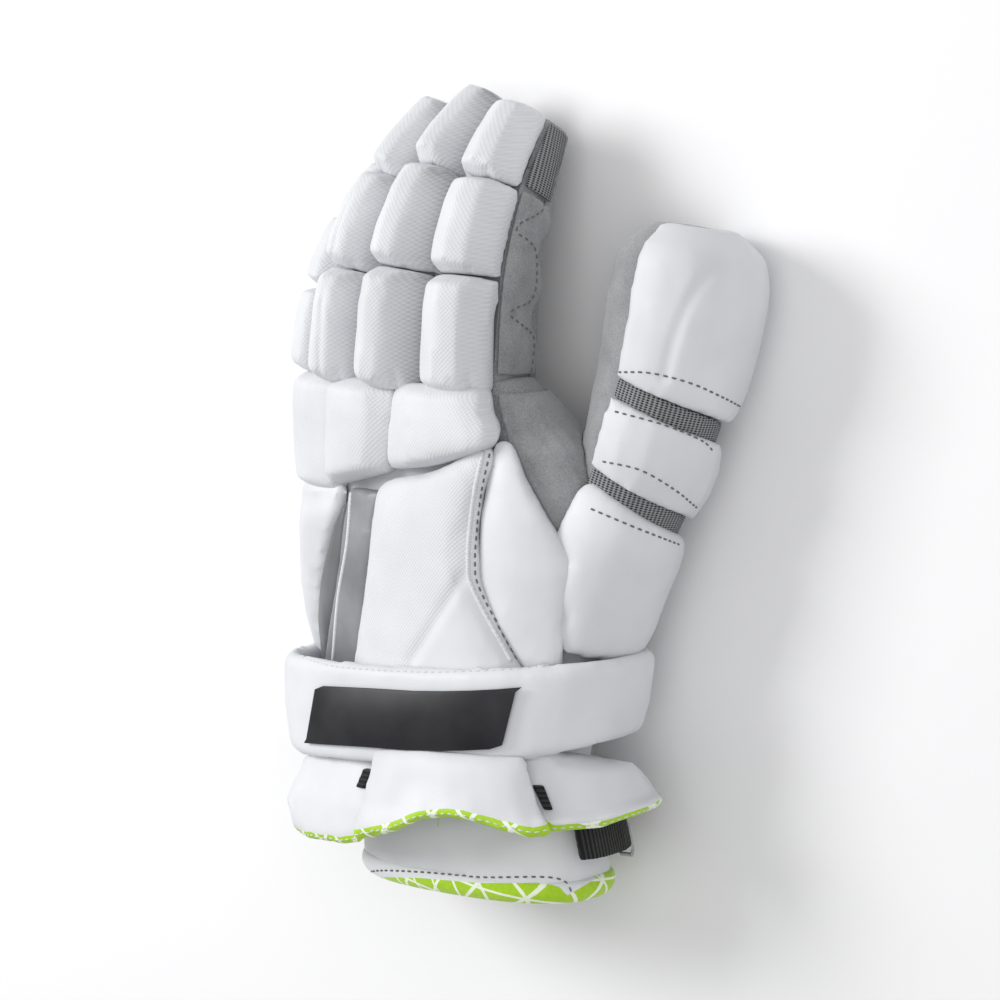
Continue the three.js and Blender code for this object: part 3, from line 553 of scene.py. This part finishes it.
# ---- The smooth pads --------------------------------------------------------------------------
# The pads at the hand's edges and on the thumb and the wrist band are foam under white coated
# leather, with a faint grain and a slight change of tone.
def mottled(name, dark, light, roughness, specular, tone, grain=None, relief=None):
    """A finish that drifts between two colours by a noise of a scale and detail, tone, with a
    fine grain of another as relief of a strength and height."""
    made, tree, shader = material(name, light, roughness, specular)
    place = place_of(tree)
    two_tone(tree, shader, noise(tree, place, *tone), dark, light, 0.3, 0.7)
    if grain:
        bump(tree, shader, noise(tree, place, *grain), *relief)
    return made


def smooth_white(name):
    """White coated leather."""
    return mottled(name, WHITE_LOW, WHITE_HIGH, 0.5, 0.35, (30,), (1100, 3), (0.25, 0.00025))


white_leather = smooth_white("white_leather")
for name in ["side_pad_outer", "side_pad_thumb", "wrist_band"] + thumb_pad_names:
    show(name + "_cover", forms[name], white_leather, name)


# ---- The cuff panels --------------------------------------------------------------------------
# Three flared panels of thin foam under white leather. The green lining is turned over their
# lower edges as a narrow hem with crossing white lines.
def hang_to(mesh, pixels, blend):
    """Brings the lower edge of a mesh, as the photograph shows it, to a line of pixels. Points
    shift along the hand by the gap at their column, less and less up to blend from the edge."""
    co, _ = read_mesh(mesh)
    seen = seen_at(co)
    columns = np.arange(seen[:, 0].min(), seen[:, 0].max() + COLUMN, COLUMN)
    bins = np.digitize(seen[:, 0], columns)
    low = np.array([seen[bins == k, 1].max() if (bins == k).any() else np.nan
                    for k in range(1, len(columns) + 1)])
    known = ~np.isnan(low)
    middles = columns[known] + COLUMN / 2
    low = np.convolve(np.pad(low[known], 1, mode="edge"), np.ones(3) / 3, "valid")
    u, v = np.array(pixels, float).T
    wanted = np.interp(middles, u, v)
    inside = (middles >= u[0]) & (middles <= u[-1])
    shift = np.interp(seen[:, 0], middles, np.where(inside, low - wanted, 0.0))
    edge = np.interp(seen[:, 0], middles, low)
    share = np.clip(1 - (edge - seen[:, 1]) / blend, 0, 1)
    co[:, 1] += shift * PIXEL * share * share * (3 - 2 * share)
    write_points(mesh, co)


def cuff_outward(angle):
    """The way out of the cuff at an angle round it, from straight up towards the thumb."""
    return Vector((math.sin(angle), 0, math.cos(angle)))


def cuff_hit(tree, y, outward):
    """Where a ray towards the cuff's middle first meets the faces of a search tree."""
    start = Vector((CUFF_MIDDLE[0], y, CUFF_MIDDLE[1])) + outward * CUFF_FAR
    return tree.ray_cast(start, -outward, CUFF_FAR - CUFF_NEAR)


def hem_of(mesh, angles):
    """The lowest place of a cuff panel's outer skin at each angle round the hand: rays cast
    inwards at rising places until one meets the mesh."""
    tree = tree_of(mesh)
    rows = np.full(len(angles), np.nan)
    for i, angle in enumerate(angles):
        outward = cuff_outward(angle)
        for y in np.arange(*HEM_SEARCH):
            if cuff_hit(tree, y, outward)[0] is not None:
                rows[i] = y
                break
    return rows


COLUMN = 4
CUFF_MIDDLE = (-0.00585, 0.04)
CUFF_FAR, CUFF_NEAR = 0.15, 0.01
HEM_SEARCH = (-0.075, -0.03, 0.0005)
RIPPLE, RIPPLE_ACROSS, RIPPLE_ALONG = 0.0003, 240, 170
EDGES = [
    ("cuff_panel_middle", 60, [
        (330, 828), (346, 834), (356, 840), (375, 837), (400, 830), (420, 820), (445, 817),
        (472, 821), (500, 830), (530, 838), (547, 836), (575, 830)]),
    ("cuff_panel_outer", 45, [
        (270, 800), (288, 812), (294, 828), (308, 838), (345, 844), (362, 842), (375, 824),
        (400, 806), (450, 796)]),
    ("cuff_panel_thumb", 45, [
        (440, 790), (500, 800), (528, 812), (548, 832), (600, 828), (645, 813), (668, 803),
        (690, 790)]),
]
for name in cuff_names:
    co, _ = read_mesh(forms[name])
    ripple = RIPPLE * np.sin(co[:, 0] * RIPPLE_ACROSS + 2) * np.sin(co[:, 1] * RIPPLE_ALONG)
    write_points(forms[name], co + ripple[:, None] * normals_of(forms[name]))
for _ in range(2):
    for name, blend, pixels in EDGES:
        hang_to(forms[name], pixels, blend)
HEMS = {"cuff_panel_outer": 0.0030, "cuff_panel_thumb": 0.0030, "cuff_panel_middle": 0.0042}
hem_angles = np.radians(np.arange(-180, 181, 2.0))
hem_rows = {}
for name in cuff_names:
    rows = hem_of(forms[name], hem_angles)
    hem_rows[name] = rows
    known = ~np.isnan(rows)
    co, _ = read_mesh(forms[name])
    around = np.arctan2(co[:, 0] - CUFF_MIDDLE[0], co[:, 2] - CUFF_MIDDLE[1])
    hem_y = np.interp(around, hem_angles[known], rows[known])
    set_zone(forms[name], HEMS[name] - (co[:, 1] - hem_y))
HEM_GREEN, LINE_WHITE = (0.37, 0.60, 0.02), (0.82, 0.88, 0.72)
cuff_white = smooth_white("cuff_white")
cuff_tree = cuff_white.node_tree
cuff_shader = cuff_tree.nodes["Principled BSDF"]
cuff_place = place_of(cuff_tree)
hem_lines = sum_of(cuff_tree, "GREATER_THAN", sum_of(
    cuff_tree, "MAXIMUM", wave(cuff_tree, cuff_place, (1, 0.9, 0.3), 0.0105),
    wave(cuff_tree, cuff_place, (1, -0.7, 0.2), 0.0135)), 0.93)
on_hem = sum_of(cuff_tree, "GREATER_THAN", value_of(cuff_tree, "zone"), 0.0)
lay_over(cuff_tree, cuff_shader, on_hem, HEM_GREEN)
lay_over(cuff_tree, cuff_shader, sum_of(cuff_tree, "MULTIPLY", on_hem, hem_lines), LINE_WHITE)
for name in cuff_names:
    show(name + "_cover", forms[name], cuff_white, name)

# ---- The vents --------------------------------------------------------------------------------
# Two slightly glossy blades of moulded grey foam beside the back plate, fixed under its edge.
# The outer one is darker.
FOAM_ROUGHNESS, FOAM_SPECULAR = 0.42, 0.5
for name, finish_name, dark, light in (
        ("vent_inner", "vent_foam", (0.17, 0.175, 0.185), (0.27, 0.275, 0.285)),
        ("vent_outer", "dark_foam", (0.1, 0.102, 0.108), (0.15, 0.152, 0.16))):
    foam = mottled(finish_name, dark, light, FOAM_ROUGHNESS, FOAM_SPECULAR,
                   (45, 3), (1400, 2), (0.3, 0.00015))
    show(name + "_blade", forms[name], foam, name)

# ---- The back plate ---------------------------------------------------------------------------
# The big pad on the back of the hand has the rolls' ribbed cover, with a smooth triangle sewn
# in at its lower thumb corner.
RIDGE_TOP, RIDGE_FOOT = np.array([462.0, 577.0]), np.array([410.0, 665.0])
RIDGE_BLEND = 3
plate_ribbed = ribbed_white("plate_ribbed", masked=True)
plate = forms["back_plate"]
slant = (RIDGE_FOOT - RIDGE_TOP) / np.linalg.norm(RIDGE_FOOT - RIDGE_TOP)
off = (seen_at(read_mesh(plate)[0]) - RIDGE_TOP) @ np.array([-slant[1], slant[0]])
set_zone(plate, np.clip(-off / RIDGE_BLEND, 0, 1), "plain")
show("back_plate_cover", plate, plate_ribbed, "back_plate")


# ---- Suede: the palm, the finger and thumb stalls and the patches -----------------------------
# Thin grey suede walls, sewn inside out, so that their edges are soft and their skin slightly
# uneven. The shell's back is white under the pads, and the fingers' backs are darker.
def uneven(mesh, size, height, seed):
    """Moves points along their normals by crossing slow waves, as worn leather lies."""
    co, _ = read_mesh(mesh)
    q = co / size + seed
    bulge = (np.sin(q[:, 0] + 1.7 * np.sin(q[:, 1])) * np.sin(q[:, 1] * 1.3 + q[:, 2])
             * np.cos(q[:, 2] * 0.8))
    write_points(mesh, co + (height * bulge)[:, None] * normals_of(mesh))


def suede(name):
    """Grey suede: a fine uneven nap with broad mottling."""
    made, tree, shader = material(name, SUEDE_LIGHT, 0.95, 0.2, 0.35)
    place = place_of(tree)
    nap = noise(tree, place, *NAP)
    broad = noise(tree, place, 90, 3)
    mixed = sum_of(tree, "ADD", sum_of(tree, "MULTIPLY", nap, 0.6),
                   sum_of(tree, "MULTIPLY", broad, 0.4))
    two_tone(tree, shader, mixed, SUEDE_DARK, SUEDE_LIGHT, 0.35, 0.65)
    bump(tree, shader, nap, 0.6, NAP_HEIGHT)
    return made


def zoned_suede(name, roughness, specular, bound, zone_color):
    """Suede with another colour over it where the attribute zone is over a bound."""
    made, tree, shader = material(name, SUEDE_LIGHT, roughness, specular, 0.2)
    nap = noise(tree, place_of(tree), *NAP)
    two_tone(tree, shader, nap, SUEDE_DARK, SUEDE_LIGHT, 0.35, 0.65)
    lay_over(tree, shader, sum_of(tree, "GREATER_THAN", value_of(tree, "zone"), bound), zone_color)
    bump(tree, shader, nap, 0.5, NAP_HEIGHT)
    return made


SUEDE_DARK, SUEDE_LIGHT = (0.21, 0.215, 0.222), (0.34, 0.345, 0.355)
NAP, NAP_HEIGHT = (1500, 6), 0.0004
SUEDE_CELL, PATCH_CELL, SUEDE_ROUNDING, SUEDE_SWELL = 0.0013, 0.0007, 3, 0.0002
WORN_SIZE, WORN_HEIGHT = 0.006, 0.0003
PALM_END, ROOT_TUCK = 0.128, 0.006
BACK_HEIGHT, BACK_END = 0.036, 0.1
grey_suede = suede("grey_suede")
palm_and_back = zoned_suede("palm_and_back", 0.85, 0.25, 0.0, WHITE_LOW)
stall_skin = zoned_suede("stall_skin", 0.9, 0.2, 0.55, (0.13, 0.132, 0.14))
for number, name in enumerate(["palm_shell", "thumb_stall"] + [f + "_stall" for f in FINGERS]):
    skin = form_of(name, SUEDE_CELL, SUEDE_ROUNDING, SUEDE_SWELL)
    finish = grey_suede
    if name == "palm_shell":
        co, _ = read_mesh(skin)
        set_zone(skin, np.minimum(co[:, 2] - BACK_HEIGHT, BACK_END - co[:, 1]))
        finish = palm_and_back
    elif name != "thumb_stall":
        reach(skin, ALONG, PALM_END + ROOT_TUCK, PALM_END - ROOT_TUCK, -ROOT_TUCK)
        set_zone(skin, normals_of(skin)[:, 2])
        finish = stall_skin
    uneven(skin, WORN_SIZE, WORN_HEIGHT, number)
    show(name + "_suede", skin, finish, name, levels=0)
for name in ("web_patch", "index_side_patch"):
    patch = form_of(name, PATCH_CELL, SUEDE_ROUNDING, SUEDE_SWELL)
    show(name + "_suede", patch, grey_suede, name, levels=0)


# ---- Knitted mesh -----------------------------------------------------------------------------
# Stretch mesh between the thumb's pads and on the index fingertip: dark gaps between grey
# threads. It is sewn in under the edges of the pads beside it.
def run_along(mesh, origin, axis, back):
    """Writes each point's way along an axis and round it, as an angle from the back times the
    mean radius, into the attribute run."""
    co, _ = read_mesh(mesh)
    axis, back = Vector(axis).normalized(), Vector(back)
    back = (back - axis * back.dot(axis)).normalized()
    side = axis.cross(back)
    q = co - np.array(origin)
    x, y, z = q @ np.array(side), q @ np.array(axis), q @ np.array(back)
    round_way = np.arctan2(x, z) * np.hypot(x, z).mean()
    run = np.stack([round_way, y, np.zeros(len(y))], 1)
    mesh.attributes.new("run", "FLOAT_VECTOR", "POINT").data.foreach_set(
        "vector", run.ravel())


def run_of(tree):
    """The socket with a point's place along and round its piece, in metres."""
    attribute = tree.nodes.new("ShaderNodeAttribute")
    attribute.attribute_name = "run"
    return attribute.outputs["Vector"]


def knit(name, pitch, dark, light):
    """Knitted mesh: rows of small holes between threads, each row set off by half a step."""
    made, tree, shader = material(name, light, 0.85, 0.25)
    place = run_of(tree)
    first = wave(tree, place, (1, 1.7, 0), pitch)
    second = wave(tree, place, (1, -1.7, 0), pitch)
    crossed = sum_of(tree, "MULTIPLY", first, second)
    thread = sum_of(tree, "ADD", sum_of(tree, "MULTIPLY", crossed, 0.5), 0.5)
    two_tone(tree, shader, thread, light, dark, 0.45, 0.7)
    bump(tree, shader, sum_of(tree, "SUBTRACT", 1.0, thread), 0.8, 0.0006)
    return made


NET_CELL, NET_SWELL, TIP_CELL = 0.0009, 0.0014, 0.0007
THUMB_ROOT = Vector((0.044, 0.04, 0.036))
THUMB_WAY = Vector((0.28, 0.93, -0.07))
THUMB_BACK = Vector((0.9, -0.25, 0.35))
TIP_ROOT = Vector((0.015, 0.2, 0.03))
TIP_WAY = Vector((0.05, 0.9, -0.4))
TO_OUTER_EDGE = Vector((-1, 0, 0))
dark_knit = knit("dark_knit", 0.0016, (0.02, 0.02, 0.022), (0.30, 0.305, 0.315))
for name in ("thumb_mesh_lower", "thumb_mesh_upper"):
    net = form_of(name, NET_CELL, 4, NET_SWELL)
    run_along(net, THUMB_ROOT, THUMB_WAY, THUMB_BACK)
    show(name + "_knit", net, dark_knit, name, levels=0)
tip_net = form_of("index_tip_mesh", TIP_CELL, 3)
run_along(tip_net, TIP_ROOT, TIP_WAY, TO_OUTER_EDGE)
show("index_tip_mesh_knit", tip_net, dark_knit, "index_tip_mesh", levels=0)


# ---- The sleeve and its lining ----------------------------------------------------------------
# The inner cuff is soft white leather, a little loose. Its green lining is turned over the edge
# as a roll, and a strip of the leather shows on the roll's back.
def lined_green(name):
    """Green lining printed with thin white lines that cross at three slants, and white where
    the attribute zone is over nought."""
    made, tree, shader = material(name, GREEN_HIGH, 0.85, 0.2, 0.3)
    place = run_of(tree)
    lines = None
    for direction, pitch in (((1, 0.55, 0), 0.0115), ((1, -0.8, 0), 0.0155), ((0.2, 1, 0), 0.0098)):
        line = sum_of(tree, "GREATER_THAN", wave(tree, place, direction, pitch), 0.955)
        lines = line if lines is None else sum_of(tree, "MAXIMUM", lines, line)
    tone = noise(tree, place_of(tree), 700, 3)
    two_tone(tree, shader, tone, GREEN_LOW, GREEN_HIGH)
    lay_over(tree, shader, lines, LINE_WHITE)
    lay_over(tree, shader, sum_of(tree, "GREATER_THAN", value_of(tree, "zone"), 0.0), WHITE_HIGH)
    bump(tree, shader, tone, 0.4, 0.0003)
    return made


GREEN_LOW, GREEN_HIGH = (0.31, 0.53, 0.012), (0.43, 0.68, 0.035)
SLEEVE_CELL, SLEEVE_END, SLEEVE_TO_WRIST = 0.0022, 0.01, -0.005
LINING_CELL, LINING_SWELL, LINING_TOP = 0.0014, 0.0006, 0.045
SLEEVE_MIDDLE = Vector((0.001, -0.05, 0.043))
TO_TIPS, TO_BACK, TO_THUMB = Vector((0, 1, 0)), Vector((0, 0, 1)), Vector((1, 0, 0))
sleeve = form_of("sleeve", SLEEVE_CELL, 5)
low, _ = span_of(sleeve, ALONG)
reach(sleeve, ALONG, low + SLEEVE_END, low, SLEEVE_TO_WRIST)
uneven(sleeve, 0.008, 0.0006, 3)
show("sleeve_cover", sleeve, white_leather, "sleeve")
lining = form_of("lining_roll", LINING_CELL, 4, LINING_SWELL)
run_along(lining, SLEEVE_MIDDLE, TO_TIPS, TO_BACK)
co, _ = read_mesh(lining)
seen = seen_at(co)
WINDOW = np.array([(360, 900), (366, 886), (373, 877), (420, 878), (480, 883), (545, 883),
                   (560, 887), (567, 896), (600, 876), (615, 868)], float)
above = np.interp(seen[:, 0], WINDOW[:, 0], WINDOW[:, 1]) - seen[:, 1]
set_zone(lining, np.where(co[:, 2] > LINING_TOP, above, -1.0))
show("lining_roll_cover", lining, lined_green("green_lining"), "lining_roll")


# ---- Elastic, strap and loop ------------------------------------------------------------------
# Ribbed black elastic closes the cuff through a wire loop. Two short tabs of the same elastic
# hold the cuff panels together.
def ribbed_black(name):
    """Black elastic: raised ribs across its length."""
    made, tree, shader = material(name, (0.012, 0.012, 0.013), 0.75, 0.3, 0.1)
    rib = wave(tree, run_of(tree), (0, 1, 0), 0.0017)
    two_tone(tree, shader, rib, (0.006, 0.006, 0.007), (0.035, 0.035, 0.038), 0.2, 0.9)
    bump(tree, shader, rib, 0.9, 0.0005)
    return made


STRAP_CELL, TAB_CELL, WIRE_CELL = 0.0008, 0.0005, 0.0004
black_elastic = ribbed_black("black_elastic")
strap = form_of("closure_strap", STRAP_CELL, 3)
run_along(strap, SLEEVE_MIDDLE, TO_BACK, TO_THUMB)
show("closure_strap_webbing", strap, black_elastic, "closure_strap", levels=0)
for name in ("cuff_tab_outer", "cuff_tab_thumb"):
    tab = form_of(name, TAB_CELL, 3)
    run_along(tab, SLEEVE_MIDDLE, TO_TIPS, TO_BACK)
    show(name + "_webbing", tab, black_elastic, name, levels=0)
wire_grey = mottled("wire_grey", (0.28, 0.29, 0.3), (0.42, 0.43, 0.44), 0.3, 0.5, (400,))
wire_grey.node_tree.nodes["Principled BSDF"].inputs["Metallic"].default_value = 0.7
loop = form_of("strap_loop", WIRE_CELL, 4)
show("strap_loop_wire", loop, wire_grey, "strap_loop", levels=0)

# ---- The badge --------------------------------------------------------------------------------
# A plain plate of dark plastic, fixed flat on the wrist band. Its shape is the solid's, with
# the edges bevelled.
BADGE_RISE, BADGE_BEVEL = 0.0008, 0.0005
FLAT_ANGLE, SHARP_ANGLE, BEVEL_ANGLE = math.radians(1), math.radians(30), math.radians(35)
badge_black = mottled("badge_black", (0.008, 0.008, 0.01), (0.02, 0.02, 0.023), 0.45, 0.3,
                      (60, 3), (1800, 2), (0.15, 0.0001))
badge = bpy.data.meshes.new("band_badge_plate")
welded = bmesh.new()
welded.from_mesh(frame["nodes"]["band_badge"].data)
bmesh.ops.remove_doubles(welded, verts=welded.verts, dist=WELD)
bmesh.ops.dissolve_limit(welded, angle_limit=FLAT_ANGLE, verts=welded.verts, edges=welded.edges)
welded.to_mesh(badge)
welded.free()
co, _ = read_mesh(badge)
co[:, 2] += BADGE_RISE
write_points(badge, co)
badge_plate = show("band_badge_plate", badge, badge_black, "band_badge", levels=0)
badge.set_sharp_from_angle(angle=SHARP_ANGLE)
chamfer = badge_plate.modifiers.new("chamfer", "BEVEL")
chamfer.width = BADGE_BEVEL
chamfer.segments = 3
chamfer.limit_method = "ANGLE"
chamfer.angle_limit = BEVEL_ANGLE


# ---- Sewing -----------------------------------------------------------------------------------
# Rows of thread stitches and a cord piping, laid on the finished pieces. Each stitch is a short
# bar of thread whose ends dip into the leather.
def plain_thread(name, color):
    """Twisted sewing thread: a fine slanting twist."""
    made, tree, shader = material(name, color, 0.6, 0.3)
    place = place_of(tree)
    twist = wave(tree, place, (1, 1, 1), 0.0006)
    tone = sum_of(tree, "MULTIPLY_ADD", twist, 0.25, noise(tree, place, 600))
    two_tone(tree, shader, tone, tuple(0.8 * c for c in color), color, 0.2, 0.8)
    bump(tree, shader, twist, 0.3, 0.0001)
    return made


def tube_faces(rings, sides):
    """Faces of a closed tube whose points lie ring by ring: its walls, and a face at each end."""
    faces = []
    for ring in range(rings - 1):
        for k in range(sides):
            a, b = ring * sides + k, ring * sides + (k + 1) % sides
            faces.append((a, b, b + sides, a + sides))
    last = (rings - 1) * sides
    faces.append(tuple(range(sides - 1, -1, -1)))
    faces.append(tuple(range(last, last + sides)))
    return faces


def stitch_row(line, facing, length=0.0021, radius=0.0004):
    """Bars along a line: each is a six-sided spindle, its middle lifted off the leather along
    the surface's normal, its ends sunk in by one radius."""
    run = np.concatenate([[0], np.cumsum(np.linalg.norm(np.diff(line, axis=0), axis=1))])
    count = max(2, int(run[-1] / (length + STITCH_GAP)))
    middle = (np.arange(count) + 0.5) * run[-1] / count

    def at(where, values):
        return np.stack([np.interp(where, run, values[:, k]) for k in range(3)], 1)

    ends = at(middle + length / 2, line) - at(middle - length / 2, line)
    ends /= np.maximum(np.linalg.norm(ends, axis=1, keepdims=True), 1e-9)
    out = at(middle, facing)
    out /= np.maximum(np.linalg.norm(out, axis=1, keepdims=True), 1e-9)
    side = np.cross(ends, out)
    centre = at(middle, line) + STITCH_LIFT * out
    rings = np.array([-0.5, -0.36, 0.0, 0.36, 0.5])
    sizes = np.array([0.35, 0.9, 1.0, 0.9, 0.35]) * radius
    sinks = np.array([-1.0, -0.1, 0.25, -0.1, -1.0]) * radius
    turn = np.arange(6) * math.pi / 3
    points = (centre[:, None, None, :]
              + (rings * length)[None, :, None, None] * ends[:, None, None, :]
              + sinks[None, :, None, None] * out[:, None, None, :]
              + (sizes[:, None] * np.cos(turn))[None, :, :, None] * side[:, None, None, :]
              + (sizes[:, None] * np.sin(turn))[None, :, :, None] * out[:, None, None, :])
    one = tube_faces(len(rings), len(turn))
    step = len(rings) * len(turn)
    faces = [tuple(v + number * step for v in face) for number in range(count) for face in one]
    return points.reshape(-1, 3), faces


def cord(line, facing, radius, sides=8):
    """A round cord along a line: rings square to it, closed at both ends."""
    along = np.gradient(line, axis=0)
    along /= np.maximum(np.linalg.norm(along, axis=1, keepdims=True), 1e-9)
    side = np.cross(along, facing)
    side /= np.maximum(np.linalg.norm(side, axis=1, keepdims=True), 1e-9)
    out = np.cross(side, along)
    turn = np.arange(sides) * 2 * math.pi / sides
    points = (line[:, None, :] + radius * np.cos(turn)[None, :, None] * side[:, None, :]
              + radius * np.sin(turn)[None, :, None] * out[:, None, :])
    return points.reshape(-1, 3), tube_faces(len(line), sides)


def sewn(name, strips, finish):
    """One piece from several lists of points and faces, its faces turned outwards."""
    points, faces, start = [], [], 0
    for p, f in strips:
        points.append(p)
        faces += [tuple(v + start for v in face) for face in f]
        start += len(p)
    mesh = bpy.data.meshes.new(name)
    mesh.from_pydata(np.concatenate(points), [], faces)
    turned = bmesh.new()
    turned.from_mesh(mesh)
    bmesh.ops.recalc_face_normals(turned, faces=turned.faces)
    turned.to_mesh(mesh)
    turned.free()
    return show(name, mesh, finish, None, levels=0)


def finished(name):
    """The mesh of a shown piece as its modifiers leave it."""
    return settled(bpy.data.objects[name])


def seen_stitches(rows, names, **sizes):
    """Stitch rows along lines of the photograph's pixels on the named pieces."""
    shown = [finished(n) for n in names]
    strips = []
    for pixels in rows:
        line, facing = seen_line(pixels, shown, 120)
        if len(line) > 3:
            strips.append(stitch_row(line, facing, **sizes))
    return strips


STITCH_GAP, STITCH_LIFT = 0.0012, 0.0001
CUFF_THREAD, BAND_THREAD, OVERLOCK_THREAD = 0.0003, 0.00025, 0.0003
PIPING, RIDGE = 0.0009, 0.0008
HEM_SEAM = 0.55
ROW_OFF_PIPING, ZIGZAG = 7, 3
white_thread = plain_thread("white_thread", (0.72, 0.73, 0.75))
grey_thread = plain_thread("grey_thread", (0.16, 0.16, 0.17))
thumb_rows = [
    [(616, 372), (650, 373), (690, 383), (722, 397), (743, 408)],
    [(613, 411), (660, 424), (700, 440), (713, 451)],
    [(601, 461), (640, 470), (675, 490), (697, 508)],
    [(589, 508), (634, 527), (680, 545)],
]
sewn("thumb_stitches", seen_stitches(
    thumb_rows, ["thumb_cap_cover", "thumb_ring_cover", "thumb_base_cover"]), grey_thread)
patch_rows = [[
    (515, 167), (529, 168), (544, 176), (544, 206), (536, 215), (521, 223), (517, 232), (529, 241),
    (536, 253), (536, 284), (530, 301), (514, 309), (511, 316), (522, 325), (533, 336), (533, 355),
    (528, 377), (510, 384), (497, 386), (484, 378)]]
sewn("patch_stitches", seen_stitches(
    patch_rows, ["index_side_patch_suede", "index_stall_suede"],
    length=0.0020, radius=0.00038), grey_thread)
groove_pixels = [(483, 452), (473, 500), (468, 560), (474, 592), (511, 661)]
back_names = ["back_plate_cover", "side_pad_thumb_cover", "palm_shell_suede"]
groove, groove_facing = seen_line(groove_pixels, [finished(n) for n in back_names], 120)
sewn("back_piping", [cord(groove, groove_facing, PIPING)], white_thread)
groove_rows = [[(u + ROW_OFF_PIPING, v) for u, v in groove_pixels]]
sewn("back_stitches", seen_stitches(groove_rows, back_names), grey_thread)
strips = []
for name in cuff_names:
    shown = tree_of(finished(name + "_cover"))
    hits = [cuff_hit(shown, y + HEM_SEAM * HEMS[name], cuff_outward(angle))
            for angle, y in zip(hem_angles, hem_rows[name]) if not np.isnan(y)]
    hits = [h for h in hits if h[0] is not None]
    if len(hits) > 3:
        strips.append(stitch_row(np.array([h[0] for h in hits]), np.array([h[1] for h in hits]),
                                 radius=CUFF_THREAD))
sewn("cuff_stitches", strips, white_thread)
zigzag = smooth_line([(545, 661), (580, 656), (612, 650), (636, 643)], 40)
zigzag[::2, 1] -= ZIGZAG
zigzag[1::2, 1] += ZIGZAG
rim, rim_facing = seen_line(zigzag, [finished("wrist_band_cover")], 200)
sewn("band_overlock", [cord(rim, rim_facing, OVERLOCK_THREAD, 6)], white_thread)
band_rows = [[(302, 658), (340, 667), (420, 672), (500, 670), (560, 664), (610, 655), (640, 645)]]
sewn("band_stitches", seen_stitches(band_rows, ["wrist_band_cover"], radius=BAND_THREAD),
     white_thread)
ridge, ridge_facing = seen_line([(351, 493), (347, 544), (338, 599), (333, 661)],
                                [finished(n) for n in ("vent_inner_blade", "vent_outer_blade")], 60)
sewn("vent_ridge", [cord(ridge, ridge_facing, RIDGE)], white_thread)
sleeve_rows = [[(366, 880), (373, 871), (420, 872), (480, 877), (545, 877), (565, 882), (572, 893)]]
sewn("sleeve_stitches", seen_stitches(sleeve_rows, ["sleeve_cover", "lining_roll_cover"]),
     grey_thread)


# ---- The floor and the light ------------------------------------------------------------------
# A plain pale floor, an even white surround, a soft main light from the outer side of the hand
# and a weaker, wider one from the thumb side.
def soft_light(name, place, size, power):
    """A square area light that faces the glove."""
    data = bpy.data.lights.new(name, "AREA")
    data.size = size
    data.energy = power
    lamp = bpy.data.objects.new(name, data)
    lamp.location = place
    lamp.rotation_euler = (Vector(place) - TARGET).to_track_quat("Z", "Y").to_euler()
    scene.collection.objects.link(lamp)


SPAN = 4.0
WORLD_STRENGTH = 0.49
corners = [(-SPAN, -SPAN, 0), (SPAN, -SPAN, 0), (SPAN, SPAN, 0), (-SPAN, SPAN, 0)]
floor_mesh = bpy.data.meshes.new("floor")
floor_mesh.from_pydata(corners, [], [(0, 1, 2, 3)])
floor = bpy.data.objects.new("floor", floor_mesh)
scene.collection.objects.link(floor)
floor_white, _, _ = material("floor_white", (0.86, 0.86, 0.87), 0.9, 0.1)
floor_mesh.materials.append(floor_white)
world = bpy.data.worlds.new("studio")
world.use_nodes = True
background = world.node_tree.nodes["Background"]
background.inputs["Color"].default_value = (1, 1, 1, 1)
background.inputs["Strength"].default_value = WORLD_STRENGTH
scene.world = world
soft_light("key_light", (-0.9, 0.55, 1.0), size=0.6, power=14)
soft_light("fill_light", (0.8, 0.3, 1.4), size=1.4, power=9)
scene.view_settings.view_transform = "Standard"
